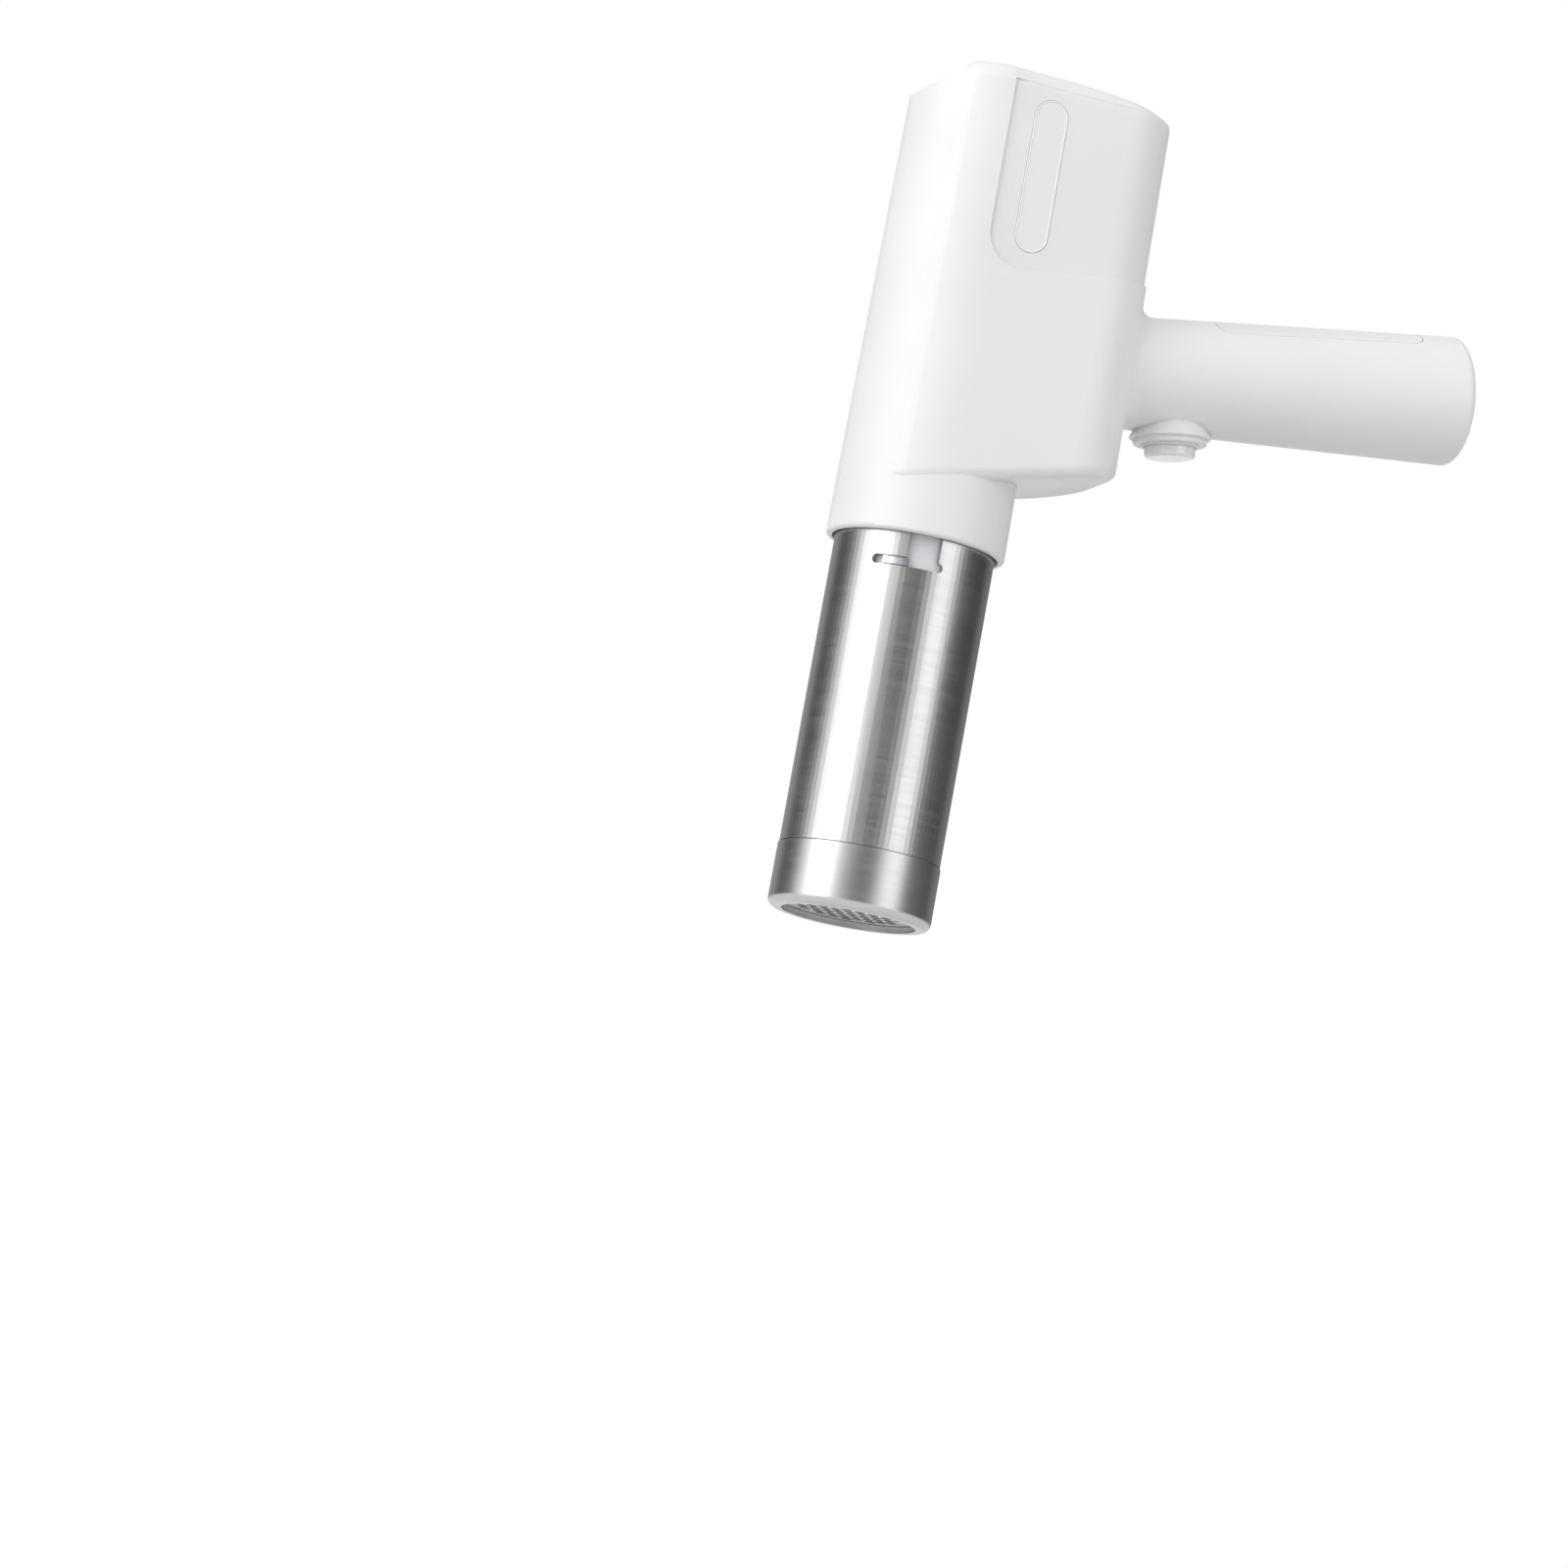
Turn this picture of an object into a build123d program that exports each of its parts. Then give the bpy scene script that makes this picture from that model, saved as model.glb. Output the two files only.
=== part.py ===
from build123d import *
import math
import os

# ---------------------------------------------------------------------------
# Cordless pasta maker: a steel dough barrel under a motor housing with a grip.
# Frame: origin in the middle of the barrel's mouth, +Z up along the barrel,
# +X towards the grip.  All sizes in millimetres.
# ---------------------------------------------------------------------------

# fits shared by many pieces
RUN_GAP = 0.1  # radial or axial gap of a turning or sliding fit
FREE_GAP = 0.3  # gap between pieces that must never touch
SEAT_GAP = 0.02  # gap of a piece that is pressed or dropped into its seat
CUT = 1.0  # how far a cutting tool passes a face
FUSE_TOLERANCE = 0.001  # lets two nearly touching roundings join

# barrel tube
TUBE_R = 25.4
TUBE_WALL = 2.0
TUBE_INSERT = 10.0  # length hidden in the collar
NECK_STEP = 0.9  # the threaded neck is this much smaller than the tube

# retaining cap and die
CAP_STEP = 0.35  # the cap stands this far proud of the tube
CAP_LENGTH = 19.8
CAP_LIP = 2.0
CAP_EDGE_R = 2.6
CAP_SEAM = 0.4
CAP_RIM = 4.5  # width of the rim round the mouth
DIE_THICK = 3.0
DIE_HOLE_R = 1.8
DIE_PITCH = 4.4
DIE_RIM = 1.85  # blank rim of the die inside the mouth

# bayonet
SLOT_DROP = 9.2  # the slots lie this far under the collar
SLOT_HEIGHT = 3.0
SLOT_START = -133.6
SLOT_STOP = -88.4
NOTCH_START = -111.9
NOTCH_STOP = -88.6
LUG_START = -128.9
LUG_STOP = -109.8
LUG_HEIGHT = 2.3
BAYONET_COUNT = 2

# spigot that carries the barrel
SPIGOT_REACH = 19.8  # how far the spigot reaches under the collar
SPIGOT_WALL = 2.6
SPIGOT_FLOOR = 3.5
SPIGOT_FLANGE = 4.0
SPIGOT_EDGE = 1.0
SEAL_SECTION_R = 0.8
SEAL_RISE = 3.0

# piston and lead screw
PISTON_THICK = 10.0
PISTON_EDGE_R = 1.0
PISTON_TOP_GAP = 0.5
PISTON_END_GAP = 1.4  # left over the die at the end of the stroke
RING_HEIGHT = 3.0
RING_DEPTH = 1.8
SCREW_R = 6.0
SCREW_FLAT_DEPTH = 1.3
SCREW_SOCKET = 4.0  # how deep the screw sits in the piston
SCREW_RUNOUT = 2.0
SCREW_ROOM = 1.0  # radial room round the lead screw where it only passes
BOLT_R = 2.5
BOLT_HEAD_STEP = 1.7
BOLT_HEAD = 3.0
BOLT_SOCKET = 2.0
BOLT_LENGTH = 16.0

# housing
COLLAR_Z = 118.8
COLLAR_LIP_R = 1.2
COLLAR_GAP = 1.0  # between the collar and the barrel
DRAFT = 0.57  # degrees by which the walls lean in towards the top
HEAD_ROOM = 2.8  # over the tallest component on the board
TOP_EDGE_R = 7.0
LID_HEIGHT = 5.0
WALL = 2.0
BODY_STEP = 0.6  # the wide part of the body stands this far proud of the collar
BODY_SETBACK = 7.4  # the wide part starts this far behind the round front
MOTOR_ROOM = 3.6  # between the motor and the rear wall
REAR_CORNER_R = 20.0
BODY_NOSE_R = 12.0  # rounding where the wide part leaves the round front
FLOOR_RISE = 18.8  # height of the sloping floor over the collar, on the axis
FLOOR_SLOPE = 14.5
FLOOR_EDGE_R = 3.6
BEVEL_LENGTH = 13.0
BEVEL_HEIGHT = 11.0
BEVEL_R = 10.0
LEDGE_THICK = 2.0
LEDGE_WIDTH = 2.4

# rear cover and its blank side inlays
COVER_STEP = 0.8
COVER_WALL = 2.2
COVER_FRONT = -3.0
COVER_CORNER_R = 11.0
COVER_RISE = 15.7  # height of the lower edge over the root of the grip, on the axis
COVER_SLOPE = 9.0
INLAY_X = 10.8
INLAY_DROP = 34.0  # middle of the inlay under the top
INLAY_WIDTH = 10.6
INLAY_LENGTH = 49.0
INLAY_THICK = 1.2
INLAY_GROOVE = 0.3
INLAY_EDGE_R = 0.25

# grip
GRIP_OFFSET = 1.3  # root of the grip behind the rear wall
GRIP_RISE = 71.6  # root of the grip over the collar
GRIP_TILT = 8.8
GRIP_TAIL = 11.0  # the grip ends this far behind the cells
GRIP_NIP = 0.1  # the root is this much too narrow for the two cells
GRIP_SPREAD = 2.5  # the grip gets this much wider towards its end
GRIP_END_EDGE_R = 2.6
GRIP_WAIST = 15.0  # where the straight taper starts
GRIP_FLARE_R = 6.0

# battery cover on top of the grip
HATCH_BEFORE = 10.0  # the cover starts this far before the cells
HATCH_SHORT = 4.0  # the cover ends this far before the cells do
HATCH_WIDTH = 27.0
HATCH_CORNER_R = 4.0
HATCH_GAP = 0.25
HATCH_LEDGE = 1.6
HATCH_LEDGE_THICK = 1.0

# cells and their holder
CELL_R = 8.25
CELL_LENGTH = 65.0
CELL_START = 37.0
CELL_NOSE = 1.0  # height of the raised cap
CELL_NOSE_R = 2.8
CELL_EDGE_R = 0.6
CELL_SIDE_GAP = 0.2
CELL_DROP = 0.8  # the cells lie this far under the grip's axis
HOLDER_PLATE = 1.5
HOLDER_HEIGHT = 14.5
CONTACT_SIZE = 9.0
CONTACT_THICK = 0.5

# trigger
BOSS_S = 15.7  # distance from the root of the grip along its axis
BOSS_DROP = 20.4  # distance of the boss's face from the axis of the grip
BOSS_RIM = 1.75  # width of the boss round the bezel
BOSS_FLARE = 6.3
BOSS_HEIGHT = 11.0
BOSS_EDGE_R = 0.6
BEZEL_RIM = 2.1  # width of the bezel round its sleeve
BEZEL_THICK = 1.8
BEZEL_SLEEVE = 4.0
BEZEL_WALL = 1.3
BEZEL_EDGE_R = 0.5
BEZEL_STEP = 0.7
BEZEL_STEP_INSET = 2.4
BUTTON_R = 8.15
BUTTON_PROUD = 4.2
BUTTON_EDGE_R = 1.4
BUTTON_FLANGE = 1.8
BUTTON_TRAVEL = 2.6
STEM_R = 1.8
STEM_LENGTH = 9.0
SPRING_R = 4.0
SPRING_WIRE_R = 0.3
SPRING_TURNS = 4
SPRING_LENGTH = 6.9
BRACKET_THICK = 1.6
SWITCH_LENGTH = 12.8
SWITCH_WIDTH = 5.8
SWITCH_HEIGHT = 6.0
PLUNGER_R = 1.2
PLUNGER_HEIGHT = 1.2
SWITCH_PIN_SPREAD = 5.0
SWITCH_PIN_THICK = 0.8
SWITCH_PIN_WIDTH = 2.0
SWITCH_PIN_LENGTH = 3.0

# drive train
GEAR_MODULE = 1.0
GEAR_ROOM = 2.55  # least gap between the large gear and the housing
PINION_TEETH = 24
PRESSURE_ANGLE = 20.0
TOOTH_ROOT = 1.25  # depth of the tooth root under the pitch circle, in modules
BACKLASH = 0.16
GEAR_RISE = 7.5  # gap between the guide plate and the large gear
GEAR_WIDTH = 9.0
HUB_STEP = 2.4
JOURNAL_WALL = 1.1
NUT_WALL = 1.5
GUIDE_RISE = 5.2  # guide plate over the flange of the spigot
GUIDE_THICK = 5.5
GUIDE_WEB = 2.5
BUSH_WALL = 2.0
BUSH_FLANGE = 1.0
BUSH_FLANGE_REACH = 1.5
BEARING_WIDTH = 4.8
BEARING_RACE = 1.5
BALL_MARGIN = 0.45
BALL_COUNT = 12
CAGE_INSET = 0.4
CAGE_THICK = 1.3
NUT_RISE = 2.0  # the nut ends this far over the lower race
DRIVE_RISE = 2.5  # gap between the gear and the drive plate
DRIVE_PLATE_THICK = 4.0
DRIVE_HUB_WALL = 3.0
DRIVE_HUB_ROOF = 3.0

# gearbox and motor
GEARBOX_R = 18.0
GEARBOX_LENGTH = 22.0
PILOT_R = 8.0
OUTPUT_SHAFT_R = 3.0
SHAFT_END = 0.5  # the shaft shows this far under the pinion
GEARBOX_EDGE = 0.6
GEARBOX_SCREW_DEPTH = 4.0
GEARBOX_SCREW_HEAD = 1.9
MOTOR_R = 17.9
MOTOR_LENGTH = 57.0
MOTOR_EDGE_R = 1.5
MOTOR_CAP_R = 14.0
MOTOR_CAP = 2.5
TERMINAL_SPREAD = 9.0
TERMINAL_HEIGHT = 4.0
TERMINAL_THICK = 0.8
TERMINAL_WIDTH = 3.0
MOUNT_SCREW_PCD_R = 14.0
MOTOR_RIB_RISE = 2.6  # rib over the gearbox

# control board
BOARD_RISE = 2.7  # board over the motor's tags
BOARD_THICK = 1.6
BOARD_LENGTH = 36.0
BOARD_GAP = 2.2  # between the board and the rear cover
BOARD_CORNER_R = 2.0
BOARD_BACK = 10.8  # rear edge of the board before the rear wall
CHIP_SIZE = 10.0
CHIP_THICK = 1.8
CAPACITOR_R = 4.0
CAPACITOR_HEIGHT = 9.0
PARTS_SPREAD_X = 7.0  # the chips and capacitors stand this far from the board's middle
PARTS_SPREAD_Y = 10.0
WIRE_R = 0.9
WIRE_CLEAR = 0.5  # between the battery leads and the motor
WIRE_LIFT = 3.5  # height of the leads over the grip's axis where they leave the holder
WIRE_STRAIGHT = 14.0
WIRE_FOOT = 6.6  # the leads turn up this far over the grip's root
WIRE_GRIP_BEND_R = 8.0
WIRE_BACK_BEND_R = 6.0

# charging socket
PORT_DROP = 11.0
PORT_WIDTH = 9.0
PORT_HEIGHT = 3.2
PORT_CORNER_R = 1.5
PORT_DEPTH = 7.3
PORT_WALL = 0.4
PORT_BACK = 1.0  # thickness of the socket's back
PORT_TONGUE_THICK = 0.7
PORT_TONGUE_WIDTH = 6.4
PORT_TONGUE_SHORT = 1.5  # the tongue ends this far inside the socket's mouth
PLUG_MARGIN = 1.6
PLUG_THICK = 1.2
PLUG_TONGUE = 4.0
PLUG_EDGE_R = 0.4
PLUG_SLIT = 1.3
PLUG_SLIT_WIDTH = 7.2
PLUG_SLIT_FLOOR = 0.5

# screws
SCREW_SHANK_R = 1.4
SCREW_HEAD_R = 2.6
SCREW_HEAD = 2.2
DRIVE_WIDTH = 3.2
DRIVE_SLOT = 0.7
BOSS_POST_R = 3.8
POST_SEAT = 6.0  # distance of a screw head's seat from the middle plane
POST_BITE = 9.0  # length of a screw in the far post
POST_FRONT = 14.0  # front posts before the axis
POST_RISE = 13.2  # lower posts over the drive plate
POST_DROP = 39.0  # upper post under the top
POST_REAR_DROP = 4.8  # rear post under the drive plate
GRIP_POST_LEAD = 0.9  # near post before the trigger

# ------------------------------------------------------------- derived sizes
TUBE_BORE_R = TUBE_R - TUBE_WALL
NECK_R = TUBE_R - NECK_STEP
CAP_R = TUBE_R + CAP_STEP
MOUTH_R = CAP_R - CAP_RIM
DIE_FIELD_R = MOUTH_R - DIE_RIM
CAP_BORE_R = NECK_R + RUN_GAP
DIE_LOW = CAP_LIP + RUN_GAP
DIE_HIGH = DIE_LOW + DIE_THICK
DIE_R = CAP_BORE_R - FREE_GAP
TUBE_LOW = DIE_HIGH + RUN_GAP
TUBE_TOP = COLLAR_Z + TUBE_INSERT
SHOULDER_Z = CAP_LENGTH + CAP_SEAM
SLOT_Z = COLLAR_Z - SLOT_DROP
SPIGOT_R = TUBE_BORE_R - FREE_GAP
SPIGOT_LOW = COLLAR_Z - SPIGOT_REACH
SEAL_Z = SPIGOT_LOW + SEAL_RISE
FLANGE_LOW = TUBE_TOP + FREE_GAP + LEDGE_THICK
FLANGE_HIGH = FLANGE_LOW + SPIGOT_FLANGE
PISTON_HIGH = SPIGOT_LOW - PISTON_TOP_GAP
PISTON_LOW = PISTON_HIGH - PISTON_THICK
STROKE = PISTON_LOW - DIE_HIGH - PISTON_END_GAP
PISTON_R = TUBE_BORE_R - FREE_GAP
SCREW_FLAT = SCREW_R - SCREW_FLAT_DEPTH
BOLT_HEAD_R = BOLT_R + BOLT_HEAD_STEP
NUT_R = SCREW_R + NUT_WALL
JOURNAL_R = NUT_R + JOURNAL_WALL
HUB_R = JOURNAL_R + HUB_STEP
GUIDE_LOW = FLANGE_HIGH + GUIDE_RISE
GUIDE_HIGH = GUIDE_LOW + GUIDE_THICK
GEAR_LOW = GUIDE_HIGH + GEAR_RISE
GEAR_HIGH = GEAR_LOW + GEAR_WIDTH
BUSH_HIGH = GUIDE_HIGH + BUSH_FLANGE
HUB_LOW = BUSH_HIGH + FREE_GAP
JOURNAL_LOW = GUIDE_LOW + GUIDE_WEB + FREE_GAP
BEARING_BORE_R = NUT_R + RUN_GAP
BEARING_R = BEARING_BORE_R + BEARING_WIDTH
BALL_R = BEARING_WIDTH / 2 - BALL_MARGIN
BALL_PITCH_R = (BEARING_BORE_R + BEARING_R) / 2
RACE_GAP = 2 * BALL_R + 2 * RUN_GAP
BEARING_HIGH = GEAR_HIGH + 2 * BEARING_RACE + RACE_GAP
DRIVE_HUB_R = BEARING_R + DRIVE_HUB_WALL
DRIVE_LOW = GEAR_HIGH + DRIVE_RISE
DRIVE_HIGH = DRIVE_LOW + DRIVE_PLATE_THICK
NUT_HIGH = GEAR_HIGH + BEARING_RACE + NUT_RISE
SCREW_TOP = NUT_HIGH + STROKE + SCREW_RUNOUT
GEARBOX_HIGH = DRIVE_HIGH + GEARBOX_LENGTH
MOTOR_HIGH = GEARBOX_HIGH + MOTOR_LENGTH
MOTOR_RIB_Z = GEARBOX_HIGH + MOTOR_RIB_RISE
BOARD_Z = MOTOR_HIGH + MOTOR_CAP + TERMINAL_HEIGHT + BOARD_RISE
TOP_Z = BOARD_Z + BOARD_THICK + CAPACITOR_HEIGHT + HEAD_ROOM + WALL
LID_SEAM_Z = TOP_Z - LID_HEIGHT
INLAY_Z = TOP_Z - INLAY_DROP

# housing and the gears inside it
LEAN = math.tan(math.radians(DRAFT))
COLLAR_R = TUBE_R + COLLAR_GAP + WALL
GEAR_SPACE_R = COLLAR_R - LEAN * (GEAR_HIGH - COLLAR_Z) - WALL - GEAR_ROOM
GEAR_TEETH = math.floor(2 * GEAR_SPACE_R / GEAR_MODULE) - 2
GEAR_PITCH_R = GEAR_MODULE * GEAR_TEETH / 2
PINION_PITCH_R = GEAR_MODULE * PINION_TEETH / 2
MOTOR_X = GEAR_PITCH_R + PINION_PITCH_R
BODY_HALF_WIDTH = COLLAR_R + BODY_STEP
BODY_FRONT = COLLAR_R - BODY_SETBACK
BODY_REAR = MOTOR_X + MOTOR_R + WALL + MOTOR_ROOM
FLOOR_Z = COLLAR_Z + FLOOR_RISE
BOARD_X = BODY_REAR - BOARD_BACK - BOARD_LENGTH / 2
COVER_INSIDE = BODY_HALF_WIDTH - LEAN * (BOARD_Z - COLLAR_Z) - COVER_STEP - COVER_WALL
BOARD_WIDTH = 2 * (COVER_INSIDE - BOARD_GAP)
WIRE_SPREAD = (MOTOR_R + WIRE_R + WIRE_CLEAR) / math.sqrt(2)

# grip, cells and trigger
GRIP_X = BODY_REAR + GRIP_OFFSET
GRIP_Z = COLLAR_Z + GRIP_RISE
GRIP_ROOT_R = WALL + 2 * CELL_R - GRIP_NIP
GRIP_END_R = GRIP_ROOT_R + GRIP_SPREAD
COVER_LOW = GRIP_Z + COVER_RISE
CELL_STOP = CELL_START + CELL_LENGTH
CELL_SIDE = CELL_R + CELL_SIDE_GAP / 2
GRIP_LENGTH = CELL_STOP + GRIP_TAIL
HATCH_START = CELL_START - HATCH_BEFORE
HATCH_STOP = CELL_STOP - HATCH_SHORT
HOLDER_LOW = -CELL_DROP - CELL_R - RUN_GAP - HOLDER_PLATE
HOLDER_TOP = HOLDER_LOW + HOLDER_HEIGHT
HOLDER_START = CELL_START - CONTACT_THICK - HOLDER_PLATE
BUTTON_BORE_R = BUTTON_R + 2 * RUN_GAP
SLEEVE_R = BUTTON_BORE_R + BEZEL_WALL
BEZEL_R = SLEEVE_R + BEZEL_RIM
BOSS_R = BEZEL_R + BOSS_RIM
BOSS_NECK_R = BOSS_R - BOSS_FLARE
FLANGE_DEPTH = BEZEL_SLEEVE + FREE_GAP
BRACKET_DEPTH = FLANGE_DEPTH + BUTTON_FLANGE + SPRING_LENGTH
STEM_DEPTH = FLANGE_DEPTH + BUTTON_FLANGE + STEM_LENGTH
SWITCH_DEPTH = STEM_DEPTH + BUTTON_TRAVEL + FREE_GAP + PLUNGER_HEIGHT
SWITCH_END = SWITCH_DEPTH + SWITCH_HEIGHT + SWITCH_PIN_LENGTH

# screw posts
POST_MIDDLE_X = (SCREW_R + MOTOR_X - MOTOR_R) / 2
POST_REAR_X = MOTOR_X + PINION_PITCH_R + GEAR_MODULE + 2 * FREE_GAP + BOSS_POST_R
POST_LOW_Z = DRIVE_HIGH + POST_RISE
POST_HIGH_Z = TOP_Z - POST_DROP
POST_REAR_Z = DRIVE_LOW - POST_REAR_DROP
GRIP_POST_LIFT = SWITCH_END - BOSS_DROP + FREE_GAP + BOSS_POST_R
GRIP_POST_S = BOSS_S - GRIP_POST_LEAD
GRIP_POST_DROP = -HOLDER_LOW + 2 * RUN_GAP + BOSS_POST_R
GRIP_POST_FAR_S = (CELL_START + CELL_STOP) / 2
BASE = (Align.CENTER, Align.CENTER, Align.MIN)

GRIP_PLANE = Plane(
    origin=(GRIP_X, 0, GRIP_Z),
    x_dir=(-math.sin(math.radians(GRIP_TILT)), 0, math.cos(math.radians(GRIP_TILT))),
    z_dir=(math.cos(math.radians(GRIP_TILT)), 0, math.sin(math.radians(GRIP_TILT))),
)
# the trigger's frame: its origin is on the boss's face and +Z points out of the boss
TRIGGER_PLANE = Plane(
    origin=GRIP_PLANE.from_local_coords(Vector(-BOSS_DROP, 0, BOSS_S)),
    x_dir=GRIP_PLANE.z_dir,
    z_dir=-GRIP_PLANE.x_dir,
)


# ------------------------------------------------------------------- helpers
def rod(radius, low, high, x=0.0, y=0.0):
    """Upright cylinder between two heights."""
    return Pos(x, y, low) * Cylinder(radius, high - low, align=BASE)


def ring(outer, inner, low, high, x=0.0):
    """Upright ring between two heights."""
    return rod(outer, low, high, x) - rod(inner, low - CUT, high + CUT, x)


def block(x_low, x_high, y_low, y_high, z_low, z_high):
    """Box given by its limits."""
    middle = ((x_low + x_high) / 2, (y_low + y_high) / 2, (z_low + z_high) / 2)
    return Pos(*middle) * Box(x_high - x_low, y_high - y_low, z_high - z_low)


def sector(inner, outer, low, high, start, stop):
    """Stretch of a ring between two angles, in degrees from +X about +Z."""
    middle = Pos((inner + outer) / 2, (low + high) / 2)
    profile = Plane.XZ * middle * Rectangle(outer - inner, high - low)
    return Rot(0, 0, start) * revolve(profile, Axis.Z, stop - start)


def around(shape, count):
    """Copies of a shape, evenly spaced about the barrel's axis."""
    return [Rot(0, 0, 360 * turn / count) * shape for turn in range(count)]


def draft_at(height):
    """How far the walls have leaned in at a height."""
    return (height - COLLAR_Z) * LEAN


def front_radius(height):
    """Outside radius of the tapered round front at a height."""
    return COLLAR_R - draft_at(height)


def floor_height(x, inset=0.0):
    """Height of the sloping floor's outside, or of a plane inside it."""
    slope = math.radians(FLOOR_SLOPE)
    return FLOOR_Z + x * math.tan(slope) + inset / math.cos(slope)


def grip_radius(s):
    """Outside radius of the grip's straight taper, s along its axis."""
    share = (s - GRIP_WAIST) / (GRIP_LENGTH - GRIP_WAIST)
    return GRIP_ROOT_R + (GRIP_END_R - GRIP_ROOT_R) * share


# ------------------------------------------------- outer shape of the housing
def wide_plan(inset):
    """Plan of the wide body: round in front, flat sides, rounded rear corners."""
    half = BODY_HALF_WIDTH - inset
    rear = BODY_REAR - inset
    back = Pos(rear / 2, 0) * Rectangle(rear, 2 * half)
    back = fillet(back.vertices().group_by(Axis.X)[-1], REAR_CORNER_R - inset)
    front = Pos(-BODY_FRONT + inset - half, 0) * Rectangle(2 * half, 4 * half)
    plan = Circle(half) + back - front
    return fillet(plan.vertices().group_by(Axis.X)[0], BODY_NOSE_R - inset)


def wide_body(inset):
    """Wide rear body with its sloping floor, inset by a wall or nothing."""
    reach = 2 * BODY_REAR
    low = COLLAR_Z
    tall = extrude(Pos(0, 0, low) * wide_plan(inset), TOP_Z - inset - low, taper=DRAFT)
    drop = reach * math.tan(math.radians(FLOOR_SLOPE))
    middle = floor_height(0, inset)
    floor = Plane.XZ * Polygon(
        (-reach, middle - drop), (reach, middle + drop), (reach, -reach), (-reach, -reach), align=None
    )
    body = tall - extrude(floor, reach, both=True)
    body = fillet(body.faces().sort_by(Axis.Z)[0].edges(), FLOOR_EDGE_R - inset)
    return fillet(body.faces().sort_by(Axis.Z)[-1].edges(), TOP_EDGE_R - inset)


def round_front(inset):
    """Tapered round front that carries the collar."""
    low = COLLAR_Z - (CUT if inset else 0)
    height = TOP_Z - inset - low
    cone = Pos(0, 0, low) * Cone(front_radius(low) - inset, front_radius(TOP_Z) - inset, height, align=BASE)
    cone = fillet(cone.edges().group_by(Axis.Z)[-1], TOP_EDGE_R - inset)
    if inset:
        return cone
    return fillet(cone.edges().group_by(Axis.Z)[0], COLLAR_LIP_R)


def top_bevel(inset):
    """Everything under the sloping, rounded front of the top."""
    reach = 2 * TOP_Z
    front = -front_radius(TOP_Z) + inset
    high = TOP_Z - inset
    rise = BEVEL_HEIGHT / BEVEL_LENGTH
    outline = Polygon(
        (front - BEVEL_LENGTH, high - BEVEL_HEIGHT - BEVEL_LENGTH * rise),
        (front + BEVEL_LENGTH, high),
        (reach, high),
        (reach, 0),
        (front - BEVEL_LENGTH, 0),
        align=None,
    )
    corner = outline.vertices().sort_by_distance(Vector(front + BEVEL_LENGTH, high))[0]
    return extrude(Plane.XZ * fillet(corner, BEVEL_R), 2 * BODY_HALF_WIDTH, both=True)


def grip_body(inset):
    """Tapered round grip about its own axis."""
    start = -2 * WALL - GRIP_END_R * math.tan(math.radians(GRIP_TILT))
    end = GRIP_LENGTH - inset
    root = grip_radius(start) - inset
    grip = Pos(0, 0, start) * Cone(root, grip_radius(end) - inset, end - start, align=BASE)
    if not inset:
        grip = fillet(grip.edges().group_by(Axis.Z)[-1], GRIP_END_EDGE_R)
    return GRIP_PLANE * grip


def boss_body():
    """Flared boss under the grip that carries the trigger."""
    cone = Pos(0, 0, -BOSS_HEIGHT) * Cone(BOSS_NECK_R, BOSS_R, BOSS_HEIGHT, align=BASE)
    return TRIGGER_PLANE * fillet(cone.edges().group_by(Axis.Z)[-1], BOSS_EDGE_R)


def envelope(inset):
    """Body's outside without the grip, or the cavity inside it when inset by the wall."""
    both = round_front(inset).fuse(wide_body(inset), tol=FUSE_TOLERANCE)
    return both & top_bevel(inset)


def outer_form():
    """Outside of the body, the grip and the trigger's boss, with the grip's root flared."""
    form = envelope(0) + grip_body(0)
    near = Vector(GRIP_X, 0, GRIP_Z)
    root = [
        edge
        for edge in form.edges()
        if abs(edge.center().X - near.X) < 2 * WALL and abs(edge.center().Z - near.Z) < GRIP_END_R + WALL
    ]
    return fillet(root, GRIP_FLARE_R) + boss_body()


def plan_slab(inset, low, high):
    """Flat slice of the housing's inside between two heights."""
    middle = (low + high) / 2
    plan = Circle(front_radius(middle) - inset) + wide_plan(inset + draft_at(middle))
    return extrude(Pos(0, 0, low) * plan, high - low)


# ----------------------------------------------------------------- housing
def cover_region(grow):
    """Space behind the rear cover's front and lower edges, up to the lid."""
    slope = math.tan(math.radians(COVER_SLOPE))
    front = COVER_FRONT - grow
    rear = BODY_REAR + GRIP_FLARE_R
    low = COVER_LOW - grow
    outline = Polygon(
        (front, low + front * slope),
        (rear, low + rear * slope),
        (rear, LID_SEAM_Z),
        (front, LID_SEAM_Z),
        align=None,
    )
    corner = outline.vertices().sort_by_distance(Vector(front, low + front * slope))[0]
    return extrude(Plane.XZ * fillet(corner, COVER_CORNER_R + grow), 2 * BODY_HALF_WIDTH, both=True)


def hatch_prism(margin):
    """Rounded block over the grip that outlines the battery cover."""
    length = HATCH_STOP - HATCH_START + 2 * margin
    plan = RectangleRounded(length, HATCH_WIDTH + 2 * margin, HATCH_CORNER_R + margin)
    middle = (HATCH_START + HATCH_STOP) / 2
    base = Plane(
        origin=GRIP_PLANE.from_local_coords(Vector(0, 0, middle)),
        x_dir=GRIP_PLANE.z_dir,
        z_dir=GRIP_PLANE.x_dir,
    )
    return extrude(base * plan, 2 * GRIP_END_R)


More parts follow.
